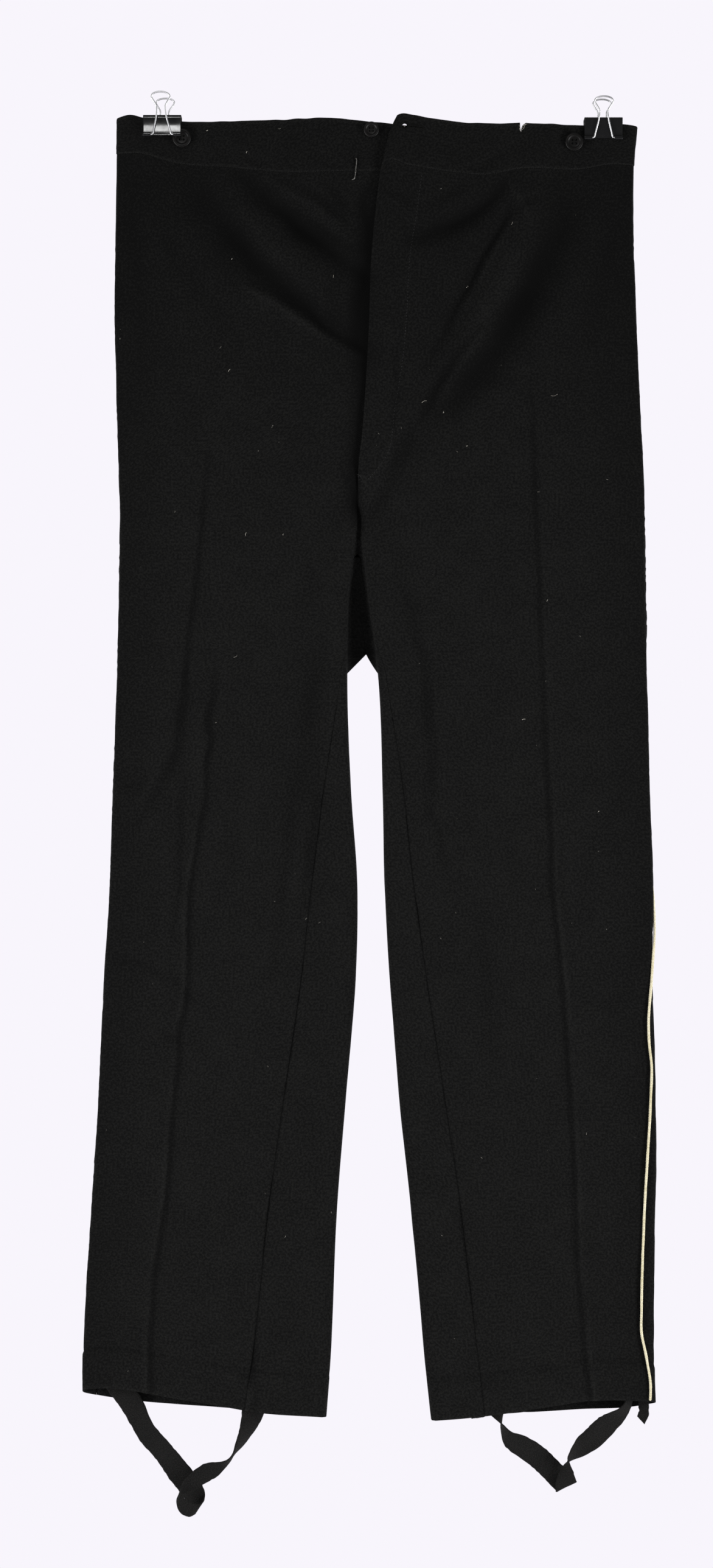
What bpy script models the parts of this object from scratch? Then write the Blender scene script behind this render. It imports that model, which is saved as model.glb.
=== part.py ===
# Uniform trousers hung flat by the waistband from two spring clips.
# The front faces -Y, +X is the wearer's left and +Z is up. The origin lies midway between
# the clips, level with the top of the waistband. Sizes are in millimetres until a mesh is made.
import math

import bmesh
import bpy
import numpy as np
from mathutils import Vector
from mathutils.bvhtree import BVHTree

MM = 0.001

# Cloth and tape
CLOTH = 1.6
BAND_CLOTH = 3.0
BAND_PROUD = 0.5
SEAM_GAP = 0.3
SEAT_GAP = 0.3
TAPE_THICK = 1.2
PIPING_RADIUS = 1.1

# Heights of the seams along the middle of the front
BAND_HEIGHT = 44.0
CROTCH_TOP = -322.0
FORK_POINT = -370.0
ARCH_TOP = -451.0
ARCH_FOOT = -467.0
HEM = -1080.0

# Folds at the sides
CAP_RADIUS = 4.2
GROOVE_RADIUS = 4.0
TAIL_RADIUS = 3.5
INNER_RADIUS = 4.5
OUTER_FADE = 56.0
INNER_FADE = 62.0

# Cloth drawn flat by a clip: half its thickness, and how far that reaches down and across
PINCH_DEPTH = 3.7
PINCH_TOP = -18.0
PINCH_DOWN = 90.0
PINCH_HALF = 19.0
PINCH_ACROSS = 52.0

# Fly
FLY_UNDER = 22.0
FLY_SEAM_TOP = -296.0
FLY_LIFT = 2.3
FLY_LIFT_TOP = 1.4
FLY_WIDTH = 27.0
FLY_FADE = 34.0

# Clips: places, width, height and sheet
CLIPS = {"right": -184.4, "left": 185.8}
CLIP_WIDTH = 32.0
CLIP_HEIGHT = 18.6
CLIP_SHEET = 0.8
CLIP_TOP = 0.9
CLIP_SPINE = 7.6
FRONT_JAW = {"right": 9.1, "left": 4.8}
BACK_JAW = 4.8
LIP_RISE = 1.6
LIP_GAP = 2.2
WIRE_RADIUS = 0.7
FOOT_REACH = 7.2
HANDLE_TOP = {"right": 21.0, "left": 18.0}
HANDLE_BACK_DROP = 5.0
HANDLE_LEAN = 3.4
# Half a handle: across from the foot's reach, then across from the middle, each with its share
# of the height.
HANDLE_FOOT = [(4.8, 0.0), (1.6, 0.0), (0.3, 0.03), (-0.3, 0.12)]
HANDLE_NECK = [
    (5.2, 0.42), (3.7, 0.66), (3.9, 0.73), (6.6, 0.82), (7.6, 0.89), (6.4, 0.955), (3.4, 0.99), (0.0, 1.0),
]

LEG_COLUMNS = ("z", "outer", "inner", "inseam", "crease", "backCrease", "sideSeam", "inside")
# A row for each section down a leg: how far out its outer and inner edges, the inseam and the
# pressed creases lie, how far the side seam lies from the edge round to the front, and half
# the thickness at the inner edge.
RIGHT_LEG = [
    (0, -222.0, -19.8, -26.0, -132.0, -118.0, -13.0, 10.8),
    (-60, -222.4, -19.8, -26.0, -134.0, -118.0, -13.0, 10.8),
    (-160, -223.9, -19.8, -26.0, -139.0, -118.0, -13.0, 10.8),
    (-260, -221.9, -19.8, -26.0, -147.0, -118.0, -13.0, 10.8),
    (-322, -219.9, -19.9, -26.0, -151.0, -118.0, -13.0, 10.8),
    (-400, -220.5, -27.5, -30.0, -160.0, -118.0, -12.0, 10.8),
    (-470, -222.1, -29.1, -35.0, -162.0, -118.0, -12.0, 10.6),
    (-570, -225.5, -25.8, -49.5, -167.5, -108.0, -12.0, 6.6),
    (-640, -228.0, -20.9, -58.4, -171.0, -101.0, -12.0, 5.2),
    (-720, -232.6, -22.0, -67.5, -175.0, -102.0, -12.0, 4.7),
    (-820, -237.7, -30.0, -81.9, -182.0, -106.0, -12.0, 4.6),
    (-920, -243.7, -38.0, -95.5, -190.0, -109.0, -12.5, 4.6),
    (-1025, -249.4, -42.8, -107.4, -195.8, -112.0, -13.0, 4.8),
    (-1100, -251.0, -48.6, -118.5, -198.0, -114.0, -13.5, 5.2),
]
LEFT_LEG = [
    (0, 213.7, -19.8, -12.0, 116.0, 104.0, -13.0, 10.8),
    (-35, 211.4, -19.8, -12.0, 117.0, 104.0, -13.0, 10.8),
    (-160, 212.7, -19.8, -12.0, 123.0, 104.0, -13.0, 10.8),
    (-260, 217.3, -19.8, -12.0, 127.5, 104.0, -13.0, 10.8),
    (-322, 219.8, -19.7, -12.0, 130.5, 104.0, -12.0, 10.8),
    (-400, 221.2, -11.9, -8.0, 133.4, 104.0, -11.0, 10.8),
    (-470, 222.5, -3.2, 3.4, 137.2, 103.0, -10.0, 10.6),
    (-570, 224.9, 0.6, 18.5, 143.5, 102.0, -8.0, 6.6),
    (-640, 227.4, 2.1, 26.0, 146.8, 102.0, -4.2, 5.2),
    (-720, 226.5, 6.2, 37.0, 153.2, 105.0, 2.5, 4.7),
    (-820, 229.5, 14.2, 52.0, 160.6, 110.0, 7.0, 4.6),
    (-920, 229.0, 24.8, 66.8, 165.8, 114.0, 10.5, 4.6),
    (-1025, 227.5, 35.2, 79.8, 172.6, 118.0, 12.0, 5.4),
    (-1100, 229.0, 44.0, 88.0, 179.5, 120.0, 9.0, 6.4),
]
LEGS = {"right": RIGHT_LEG, "left": LEFT_LEG}

BODY_COLUMNS = ("z", "front", "back", "centreBack")
# How far the front and back stand off the middle plane, and the centre back seam.
BODY = [
    (0, 9.0, 8.0, -4.0),
    (-44, 10.5, 10.0, -4.0),
    (-110, 12.5, 12.5, -4.6),
    (-200, 13.0, 13.5, -6.5),
    (-322, 11.5, 12.5, -9.5),
    (-400, 11.0, 11.6, -11.6),
    (-470, 10.6, 10.8, -13.4),
    (-570, 10.0, 10.0, -13.4),
    (-720, 9.5, 9.5, -13.4),
    (-900, 9.5, 9.0, -13.4),
    (-1025, 10.5, 9.5, -13.4),
    (-1100, 12.0, 10.5, -13.4),
]

FORK_COLUMNS = ("z", "centre", "saddle")
# Where the legs part: the middle of the gap, and the depth of the cloth that closes it.
FORK = [
    (-322, -19.9, -11.5),
    (-350, -20.4, -7.0),
    (-376, -20.9, -3.0),
    (-402, -19.2, 0.5),
    (-432, -15.8, 3.2),
    (-451, -13.3, 4.0),
]

FLY_COLUMNS = ("z", "edge")
FLY = [
    (2, 14.4),
    (-3, 10.2),
    (-11, 6.9),
    (-33, 2.5),
    (-51, -2.0),
    (-75, -5.1),
    (-107, -8.2),
    (-190, -11.7),
    (-265, -16.6),
    (-301, -20.2),
    (-322, -19.9),
]

# Heights of the waistband's top and seam, and of the hems, across the front and the back.
BAND_TOP = [
    (-222, -1.0), (-214, 1.6), (-200, -1.0), (-168, -3.6), (-100, -4.0), (-38, -2.0),
    (0, -6.0), (20, -8.0),
]
BAND_TOP_LEFT = [
    (8, -3.2), (14, 0.5), (26, 0.2), (41, -2.6), (97, -6.6), (122, -6.0), (168, -7.0),
    (200, -6.2), (214, -8.0),
]
BAND_SEAM = [
    (-222, -31.0), (-206, -30.4), (-172, -39.0), (-129, -43.0), (-88, -47.0), (-28, -46.4),
    (0, -46.0), (30, -42.0),
]
BAND_SEAM_LEFT = [
    (-4, -46.0), (3, -39.0), (23, -42.0), (60, -47.4), (86, -49.4), (116, -44.4), (172, -43.4),
    (190, -40.0), (212, -40.8),
]
BACK_TOP = [
    (-222, -1.0), (-200, -2.0), (-168, -4.0), (-118, -13.0), (-50, -16.0), (0, -16.4),
    (50, -16.0), (118, -13.4), (168, -7.4), (200, -6.4), (214, -8.0),
]
BACK_SEAM = [
    (-222, -31.0), (-172, -42.0), (-118, -54.0), (-50, -58.0), (0, -58.5), (50, -58.0),
    (118, -55.0), (172, -46.0), (212, -40.8),
]
HEM_FRONT = [
    (-252, -1070.5), (-230, -1069.0), (-204, -1070.0), (-173, -1074.6), (-140, -1080.0),
    (-100, -1086.8), (-48, -1091.4),
]
HEM_FRONT_LEFT = [
    (43, -1094.0), (62, -1092.4), (87, -1089.4), (148, -1080.0), (173, -1076.2),
    (200, -1076.6), (229, -1078.6),
]
HEM_BACK = [
    (-252, -1071.5), (-236, -1074.5), (-202, -1080.0), (-173, -1082.5), (-145, -1084.5),
    (-100, -1088.0), (-48, -1091.6),
]
HEM_BACK_LEFT = [
    (43, -1094.2), (87, -1091.5), (123, -1089.6), (166, -1086.8), (208, -1084.2),
    (229, -1080.6),
]

EDGE_LINES = {
    "right": {"top": BAND_TOP, "seam": BAND_SEAM, "hem": HEM_FRONT, "hem_back": HEM_BACK},
    "left": {"top": BAND_TOP_LEFT, "seam": BAND_SEAM_LEFT, "hem": HEM_FRONT_LEFT, "hem_back": HEM_BACK_LEFT},
}

FOLD_COLUMNS = ("face", "x1", "z1", "x2", "z2", "x3", "z3", "height", "width")
# Large folds, each along a bend through three places: a trough has a height below nought.
FOLDS = [
    ("front", -125.0, -52.0, -75.0, -104.0, -15.0, -134.0, -3.4, 15.0),
    ("front", -159.0, -58.0, -110.0, -136.0, -20.0, -200.0, -3.6, 16.0),
    ("front", -134.0, -62.0, -86.0, -132.0, -40.0, -166.0, 2.4, 16.0),
    ("front", -75.0, -170.0, -52.0, -182.0, -26.0, -198.0, 1.8, 12.0),
    ("front", 106.0, -56.0, 66.0, -84.0, 30.0, -105.0, -2.6, 15.0),
    ("front", 127.0, -73.0, 79.0, -129.0, 49.0, -187.0, -3.0, 10.0),
    ("front", 154.0, -98.0, 108.0, -184.0, 49.0, -252.0, -3.8, 20.0),
    ("front", 118.0, -100.0, 90.0, -160.0, 60.0, -215.0, 2.2, 14.0),
    ("front", -169.0, -470.0, -183.0, -542.0, -196.0, -590.0, 1.8, 11.0),
    ("back", -130.0, -70.0, -85.0, -150.0, -30.0, -215.0, -3.4, 18.0),
    ("back", -95.0, -60.0, -50.0, -110.0, -12.0, -140.0, -2.6, 15.0),
    ("back", 128.0, -72.0, 84.0, -145.0, 30.0, -220.0, -3.4, 18.0),
    ("back", 90.0, -60.0, 48.0, -112.0, 10.0, -150.0, -2.6, 14.0),
    ("back", -60.0, -400.0, -110.0, -430.0, -170.0, -440.0, -2.4, 16.0),
    ("back", 40.0, -395.0, 100.0, -428.0, 165.0, -432.0, -2.4, 16.0),
]
CREASE_HEIGHT = 2.4
CREASE_WIDTH = 9.0
CREASE_START = -230.0

# A row for each place along a tape: x, y and z of one edge, then x, y and z of the other.
RIGHT_STRAP = [
    (-236.1, 1.5, -1060.2, -221.9, 2.9, -1047.8),
    (-228.1, 1.9, -1070.7, -213.9, 3.5, -1058.3),
    (-218.5, 3.0, -1083.8, -201.5, 3.6, -1075.2),
    (-211.2, 4.0, -1094.3, -194.6, 4.2, -1088.6),
    (-205.4, 4.4, -1102.2, -188.3, 4.2, -1098.6),
    (-199.3, 4.4, -1111.6, -182.0, 4.0, -1106.8),
    (-192.1, 4.2, -1120.6, -175.4, 4.0, -1114.9),
    (-184.7, 4.2, -1129.6, -168.1, 4.2, -1123.4),
    (-178.9, 4.8, -1140.1, -161.6, 4.8, -1132.0),
    (-171.8, 5.6, -1150.9, -154.6, 5.6, -1141.6),
    (-165.4, 6.4, -1160.2, -150.2, 6.4, -1149.6),
    (-159.9, 5.6, -1166.6, -148.6, 6.0, -1156.0),
    (-156.6, 1.6, -1169.6, -149.2, 3.0, -1160.2),
    (-157.6, -4.6, -1171.3, -152.6, -1.6, -1162.8),
    (-161.4, -9.6, -1171.7, -157.8, -4.6, -1161.9),
    (-166.4, -11.0, -1169.9, -162.6, -6.6, -1159.0),
    (-170.3, -9.4, -1165.6, -166.0, -7.6, -1155.4),
    (-171.6, -5.4, -1160.4, -167.6, -7.6, -1151.0),
    (-170.2, -1.8, -1156.2, -167.4, -7.0, -1146.8),
    (-165.0, -0.2, -1153.6, -165.4, -6.5, -1142.2),
    (-158.0, 0.2, -1150.7, -161.4, -6.2, -1137.6),
    (-150.6, 0.0, -1146.9, -155.1, -6.2, -1132.2),
    (-143.3, -0.8, -1143.0, -147.7, -6.4, -1128.0),
    (-137.2, -1.2, -1139.0, -139.9, -7.8, -1126.6),
    (-132.2, 0.0, -1133.4, -133.6, -10.4, -1125.6),
    (-127.6, 2.4, -1127.6, -128.4, -13.0, -1123.2),
    (-123.8, 3.6, -1121.6, -124.6, -14.4, -1118.8),
    (-115.6, 3.0, -1113.4, -122.2, -14.2, -1110.4),
    (-105.9, 1.0, -1100.2, -119.1, -12.6, -1098.6),
    (-99.6, -2.7, -1088.5, -117.4, -9.4, -1087.5),
    (-98.1, -7.0, -1076.8, -116.9, -9.0, -1075.2),
    (-97.6, -7.2, -1062.8, -116.4, -8.6, -1061.2),
]
LEFT_STRAP = [
    (102.0, -8.5, -1063.5, 83.0, -7.1, -1064.5),
    (102.7, -7.2, -1073.5, 83.7, -7.6, -1074.5),
    (103.1, -1.6, -1082.0, 85.3, -7.5, -1083.0),
    (102.2, 4.8, -1090.3, 89.4, -7.9, -1090.7),
    (100.8, 7.6, -1097.5, 95.4, -9.6, -1096.3),
    (99.6, 7.6, -1105.0, 101.6, -9.6, -1100.2),
    (102.0, 5.8, -1112.6, 108.4, -7.2, -1101.2),
    (108.5, 4.1, -1119.9, 116.2, -3.0, -1104.1),
    (117.8, 2.4, -1126.0, 126.2, 0.8, -1109.2),
    (127.4, 2.4, -1133.7, 138.0, 2.0, -1117.9),
    (136.7, 2.4, -1142.6, 148.5, 2.2, -1128.0),
    (142.4, 2.4, -1148.9, 156.6, 2.4, -1136.8),
    (145.5, 1.8, -1151.7, 162.0, 1.8, -1143.1),
    (146.1, 0.0, -1152.4, 163.0, 0.0, -1144.1),
    (145.7, -1.8, -1151.5, 162.4, -1.8, -1143.0),
    (145.4, -2.8, -1146.2, 161.3, -2.8, -1139.3),
    (147.4, -2.6, -1138.4, 159.6, -5.0, -1133.9),
    (151.6, -1.4, -1131.2, 157.2, -9.0, -1128.6),
    (157.0, 2.2, -1127.6, 155.4, -11.2, -1122.6),
    (164.3, 4.2, -1125.2, 157.6, -10.6, -1116.2),
    (174.4, 1.4, -1120.5, 162.9, -6.1, -1107.3),
    (185.1, -0.4, -1112.6, 171.9, -1.6, -1099.0),
    (195.1, 2.6, -1102.7, 181.9, -1.8, -1090.1),
    (202.4, 5.2, -1094.7, 190.0, -5.2, -1085.9),
    (208.0, 4.8, -1087.4, 195.6, -6.4, -1080.4),
    (211.3, 2.4, -1077.6, 195.6, -3.6, -1071.4),
    (212.7, 1.6, -1063.4, 195.3, -2.4, -1059.6),
]
LEFT_TIP = [
    (74.0, -5.2, -1066.3, 86.0, -5.2, -1065.7),
    (74.3, -4.9, -1079.5, 86.3, -5.3, -1078.5),
    (74.9, -3.6, -1091.0, 86.3, -6.0, -1088.6),
]
LEFT_TAIL = [
    (214.2, 2.0, -1068.0, 223.0, 0.6, -1068.0),
    (214.8, 1.9, -1078.5, 223.6, 0.1, -1079.5),
    (215.5, 0.5, -1084.8, 223.3, -2.5, -1088.2),
    (213.9, -1.2, -1089.0, 219.7, -4.8, -1095.0),
]

BUTTONS = {
    "brace_button_right": ("right", -167.9, -18.4, 15.8),
    "brace_button_left": ("left", 161.2, -21.8, 15.2),
    "waist_button": ("right", -9.0, -12.2, 13.3),
}
BUTTON_THICK = 2.6
# From the back's edge over the rim into the dish: the share of the radius and of the thickness
BUTTON_PROFILE = [(0.80, 0.0), (1.0, 0.42), (1.0, 0.70), (0.88, 1.0), (0.66, 0.92), (0.52, 0.62)]
BUTTON_HOLE_PLACE = 0.27
BUTTON_HOLE_SIZE = 0.125
BUTTON_SIDES = 20
SEAT_PROBES = 12

HOOK_WIRE = 0.6
HOOK = [(-21.4, -38.0), (-22.0, -44.0), (-22.5, -50.5), (-23.4, -53.4), (-25.2, -54.2)]

BUTTONHOLE = {"eye_x": 18.9, "z": -9.4, "eye": 2.1, "slot_end": 35.0, "slot": 0.7, "drop": -1.8}
TEAR = {"x": 118.4, "half_width": 3.8, "bottom": -11.6, "lean": 1.2}

COLOURS = {
    "cloth": ((0.009, 0.009, 0.0095), 0.92, 0.0),
    "tape": ((0.017, 0.016, 0.017), 0.85, 0.0),
    "cord": ((0.72, 0.66, 0.50), 0.75, 0.0),
    "button": ((0.012, 0.010, 0.009), 0.22, 0.0),
    "lacquer": ((0.006, 0.006, 0.007), 0.18, 0.0),
    "wire": ((0.62, 0.62, 0.64), 0.20, 1.0),
}


def smooth_along(points, values, where):
    # A smooth curve through the values, with the points in rising order.
    points = np.asarray(points, float)
    values = np.asarray(values, float)
    slopes = np.gradient(values, points)
    spot = np.clip(np.searchsorted(points, where) - 1, 0, len(points) - 2)
    step = points[spot + 1] - points[spot]
    t = np.clip((where - points[spot]) / step, 0, 1)
    rise = values[spot] * (1 + 2 * t) * (1 - t) ** 2 + values[spot + 1] * t * t * (3 - 2 * t)
    return rise + step * t * (1 - t) * (slopes[spot] * (1 - t) - slopes[spot + 1] * t)


def read_column(table, columns, name, z):
    # One named column of a table whose rows go down, read at a height.
    rows = np.array(table, float)[::-1]
    return smooth_along(rows[:, 0], rows[:, columns.index(name)], z)


def leg(side, name, z):
    return float(read_column(LEGS[side], LEG_COLUMNS, name, z))


def body(name, z):
    return float(read_column(BODY, BODY_COLUMNS, name, z))


def fork(name, z):
    return float(read_column(FORK, FORK_COLUMNS, name, z))


def fly_edge(z):
    return float(read_column(FLY, FLY_COLUMNS, "edge", z))


def line_height(line, x):
    rows = np.array(line, float)
    return smooth_along(rows[:, 0], rows[:, 1], x)


def ease(t):
    t = np.clip(t, 0, 1)
    return t * t * (3 - 2 * t)


def clip_pinch(x, z):
    # 1 between the jaws of a clip, fading round them and below.
    fade = 1 - ease((PINCH_TOP - z) / PINCH_DOWN)
    near = np.minimum(np.abs(x - CLIPS["right"]), np.abs(x - CLIPS["left"]))
    return fade * (1 - ease((near - PINCH_HALF) / PINCH_ACROSS))


def arc(path, heading, radius, turn, steps):
    # Adds an arc to a path of points; the turn is in radians, anticlockwise above nought.
    x, y = path[-1]
    sign = 1 if turn > 0 else -1
    centre_x = x - sign * radius * math.sin(heading)
    centre_y = y + sign * radius * math.cos(heading)
    for i in range(1, steps + 1):
        now = heading + turn * i / steps
        path.append((centre_x + sign * radius * math.sin(now), centre_y - sign * radius * math.cos(now)))
    return heading + turn


def run(path, heading, length):
    if length > 1e-6:
        x, y = path[-1]
        path.append((x + length * math.cos(heading), y + length * math.sin(heading)))


class Section:
    # The outline of one half of the garment at a height, from the middle of the front (or the
    # inner edge of the leg) round the outer fold to the middle of the back. Lengths run along it.
    def __init__(self, side, z):
        self.side = side
        self.z = z
        self.sign = -1 if side == "right" else 1
        sign = self.sign
        front = body("front", z)
        back = body("back", z)
        outer = sign * leg(side, "outer", z)
        inner = sign * leg(side, "inner", z)
        inside = leg(side, "inside", z)
        path = []
        closed = z <= ARCH_TOP + 1e-6
        if z > CROTCH_TOP:
            start = sign * self.front_start()
            path.append((start, -front))
            front_in = front
            back_in = back
            face_from = start
        else:
            blend = ease((inside - 5.0) / 5.0)
            front_in = inside + (front - inside) * blend
            back_in = inside + (back - inside) * blend
            convex = min(INNER_RADIUS, inside - 0.05)
            face_from = inner + convex
            if not closed:
                centre = sign * fork("centre", z)
                depth = max(fork("saddle", z) + front_in, 0.05)
                room = max(inner - centre, 0.4)
                concave = min(GROOVE_RADIUS, room)
                both = concave + convex
                turn = math.pi / 2 if depth >= both else math.acos(1 - depth / both)
                level = -front_in + depth
                path.append((centre, level))
                run(path, 0.0, face_from - both * math.sin(turn) - centre)
                arc(path, 0.0, concave, -turn, 5)
                run(path, -turn, max(depth - both, 0))
                arc(path, -turn, convex, turn, 5)
            else:
                tail = TAIL_RADIUS + (convex - TAIL_RADIUS) * ease((ARCH_TOP - z) / 90.0)
                centre = sign * fork("centre", ARCH_TOP)
                way = min((ARCH_TOP - z) / (ARCH_TOP - ARCH_FOOT), 1)
                tip = centre + (inner - centre) * way
                room = max(inner - tip, 0)
                concave = GROOVE_RADIUS
                both = concave + tail
                turn = math.pi / 2 if room >= both else math.acos(1 - room / both)
                path.append((tip, back_in - tail))
                heading = arc(path, -math.pi / 2, tail, turn, 5) if turn > 1e-4 else -math.pi / 2
                run(path, heading, max(room - both, 0))
                if turn > 1e-4:
                    heading = arc(path, heading, concave, -turn, 4)
                run(path, heading, path[-1][1] + front_in - convex)
                arc(path, -math.pi / 2, convex, math.pi / 2, 5)
        self.inner_end = self.length_of(path)
        cap_x = outer - CAP_RADIUS
        xs = np.linspace(face_from, cap_x, 90)[1:]
        ys = -self.face_depth(xs, face_from, cap_x, front, front_in)
        path += list(zip(xs, ys))
        self.cap_start = self.length_of(path)
        arc(path, 0.0, CAP_RADIUS, math.pi, 10)
        self.cap_end = self.length_of(path)
        if closed:
            face_to = tip + tail
        else:
            face_to = sign * body("centreBack", z) if z > CROTCH_TOP else sign * self.centre_back()
        xs = np.linspace(cap_x, face_to, 90)[1:]
        ys = self.face_depth(xs, face_to, cap_x, back, back_in)
        path += list(zip(xs, ys))
        self.back_end = self.length_of(path)
        if closed:
            arc(path, math.pi, tail, math.pi / 2, 5)
        self.path = np.array(path)
        steps = np.hypot(*np.diff(self.path, axis=0).T)
        self.along = np.concatenate([[0], np.cumsum(steps)])
        self.total = float(self.along[-1])
        self.closed = closed

    def front_start(self):
        # The right half runs on under the fly, the left one ends at its edge.
        edge = fly_edge(self.z)
        if self.side == "left":
            return edge + SEAM_GAP / 2
        under = FLY_UNDER * float(ease((self.z - FLY_SEAM_TOP) / 60.0))
        return edge - SEAM_GAP / 2 + under

    def centre_back(self):
        way = float(ease((CROTCH_TOP - self.z) / (CROTCH_TOP - ARCH_TOP)))
        return body("centreBack", self.z) * (1 - way) + fork("centre", self.z) * way

    def length_of(self, path):
        points = np.array(path)
        return float(np.hypot(*np.diff(points, axis=0).T).sum()) if len(points) > 1 else 0.0

    def face_depth(self, xs, inner_x, cap_x, middle, inner_depth):
        # How far a face stands off the middle plane, from its inner edge to the outer fold.
        outer_part = 1 - ease((cap_x - xs) / OUTER_FADE)
        inner_part = (1 - ease((xs - inner_x) / INNER_FADE)) * (self.z <= CROTCH_TOP)
        depth = middle + (CAP_RADIUS - middle) * outer_part + (inner_depth - middle) * inner_part
        return depth + (PINCH_DEPTH - depth) * clip_pinch(self.sign * xs, self.z)

    def point(self, lengths):
        # Places along the outline, with the way out from the cloth at each.
        x = np.interp(lengths, self.along, self.path[:, 0])
        y = np.interp(lengths, self.along, self.path[:, 1])
        reach = 0.7
        before = np.maximum(np.asarray(lengths) - reach, 0)
        after = np.minimum(np.asarray(lengths) + reach, self.total)
        tx = np.interp(after, self.along, self.path[:, 0]) - np.interp(before, self.along, self.path[:, 0])
        ty = np.interp(after, self.along, self.path[:, 1]) - np.interp(before, self.along, self.path[:, 1])
        size = np.hypot(tx, ty)
        return self.sign * x, y, self.sign * ty / size, -tx / size

    def at_front(self, x):
        # The length at which the front face passes over a place across the garment.
        inside = (self.along >= self.inner_end - 1e-6) & (self.along <= self.cap_start + 1e-6)
        return float(np.interp(self.sign * x, self.path[inside, 0], self.along[inside]))

    def at_back(self, x):
        inside = (self.along >= self.cap_end - 1e-6) & (self.along <= self.back_end + 1e-6)
        return float(np.interp(-self.sign * x, -self.path[inside, 0], self.along[inside]))

    def side_seam(self):
        return (self.cap_start + self.cap_end) / 2 - leg(self.side, "sideSeam", self.z)

    def inseam(self):
        # Along the front face of the leg; higher up it climbs into the gap to the fork point.
        if self.z > FORK_POINT:
            return 0.0
        on_face = self.at_front(leg(self.side, "inseam", self.z))
        way = float(ease((FORK_POINT - self.z) / (FORK_POINT + 470.0)))
        return 2.8 + (on_face - 2.8) * way


def bend_points(fold, count):
    # Places along a bend that passes through the three places of a fold.
    t = np.linspace(0, 1, count)
    middle_x = 2 * fold[3] - (fold[1] + fold[5]) / 2
    middle_z = 2 * fold[4] - (fold[2] + fold[6]) / 2
    x = (1 - t) ** 2 * fold[1] + 2 * t * (1 - t) * middle_x + t * t * fold[5]
    z = (1 - t) ** 2 * fold[2] + 2 * t * (1 - t) * middle_z + t * t * fold[6]
    return x, z, t


def fold_height(face, x, z):
    # How far the folds lift the cloth of one face.
    height = np.zeros_like(x)
    for fold in FOLDS:
        if fold[0] != face:
            continue
        fold_x, fold_z, t = bend_points(fold, 17)
        away = np.hypot(x[:, None] - fold_x, z[:, None] - fold_z)
        nearest = np.argmin(away, axis=1)
        taper = np.sin(math.pi * np.clip(t[nearest] * 0.84 + 0.08, 0, 1))
        height += fold[7] * taper * np.exp(-(away[np.arange(len(x)), nearest] / fold[8]) ** 2)
    for side in LEGS:
        name = "crease" if face == "front" else "backCrease"
        ridge = read_column(LEGS[side], LEG_COLUMNS, name, z)
        grow = ease((CREASE_START - z) / 130.0)
        height += CREASE_HEIGHT * grow * np.exp(-np.abs((x - ridge) / CREASE_WIDTH) ** 1.5)
    return height


def settle(x, y, z, nx, ny, side):
    # Puts the folds in and shifts the heights so that the hems and the waist keep their lines.
    facing = ease((y + 4.0) / 8.0)
    folds = fold_height("front", x, z) * (1 - ease((ny + 0.95) / 0.6))
    folds += fold_height("back", x, z) * ease((ny - 0.35) / 0.6)
    fade = 1 - clip_pinch(x, z)
    folds *= fade * ease((-20.0 - z) / 60.0)
    x = x + nx * folds
    y = y + ny * folds
    if side == "left":
        edge = read_column(FLY, FLY_COLUMNS, "edge", z)
        lift = FLY_LIFT + FLY_LIFT_TOP * (1 - ease((-40.0 - z) / 60.0))
        lift *= 1 - ease((FLY_SEAM_TOP - z) / 26.0)
        near = 1 - ease((x - edge - FLY_WIDTH) / FLY_FADE)
        y = y - lift * near * (ny < -0.3)
    lines = EDGE_LINES[side]
    top = line_height(lines["top"], x) * (1 - facing) + line_height(BACK_TOP, x) * facing
    seam = line_height(lines["seam"], x) * (1 - facing) + line_height(BACK_SEAM, x) * facing
    hem = line_height(lines["hem"], x) * (1 - facing) + line_height(lines["hem_back"], x) * facing
    in_band = ease((z + BAND_HEIGHT) / BAND_HEIGHT)
    at_seam = 1 - ease((-BAND_HEIGHT - z) / 150.0)
    at_hem = ease((-880.0 - z) / (-880.0 - HEM))
    shift = np.where(z > -BAND_HEIGHT, top * in_band + (seam + BAND_HEIGHT) * (1 - in_band), 0.0)
    shift = np.where(z <= -BAND_HEIGHT, (seam + BAND_HEIGHT) * at_seam + (hem - HEM) * at_hem, shift)
    return x, y, z + shift


def lay_row(section, lengths, proud=0.0):
    # One row of outer points and the ways out at them.
    lengths = np.asarray(lengths, float)
    x, y, nx, ny = section.point(lengths)
    z = np.full_like(x, section.z)
    x, y, z = settle(x, y, z, nx, ny, section.side)
    points = np.stack([x + nx * proud, y + ny * proud, z], axis=1)
    return points, np.stack([nx, ny, np.zeros_like(nx)], axis=1)


def spread(marks, counts):
    # Lengths between marks in rising order, with a count of steps for each stretch.
    lengths = [marks[0]]
    for low, high, count in zip(marks, marks[1:], counts):
        lengths += list(np.linspace(low, high, count + 1)[1:])
    return lengths


PANEL_ROWS = [
    -BAND_HEIGHT - SEAM_GAP, -66, -90, -116, -146, -178, -212, -248, -272, -296, -309, -322, -336,
    -351, -366, -370, -386, -402, -418, -435, ARCH_TOP, -457, -463, -470, -490, -522, -562, -600,
    -630, -657, -682, -706, -732, -765, -820, -880, -940, -995, -1040, HEM,
]


def front_lengths(section):
    half = SEAM_GAP / 2
    if section.z > CROTCH_TOP:
        start = 0.0
    else:
        start = section.inseam() + half
    end = section.side_seam() - half
    crease = section.at_front(leg(section.side, "crease", section.z))
    fold = max(section.inner_end, start + 14.0)
    cap = min(section.cap_start, end - 7.0)
    cap_back = min(section.cap_end, end - 2.0)
    marks = [start, fold, crease - CREASE_WIDTH, crease, crease + CREASE_WIDTH, cap, cap_back, end]
    return spread(marks, [3, 5, 1, 1, 2, 3, 1])


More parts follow.
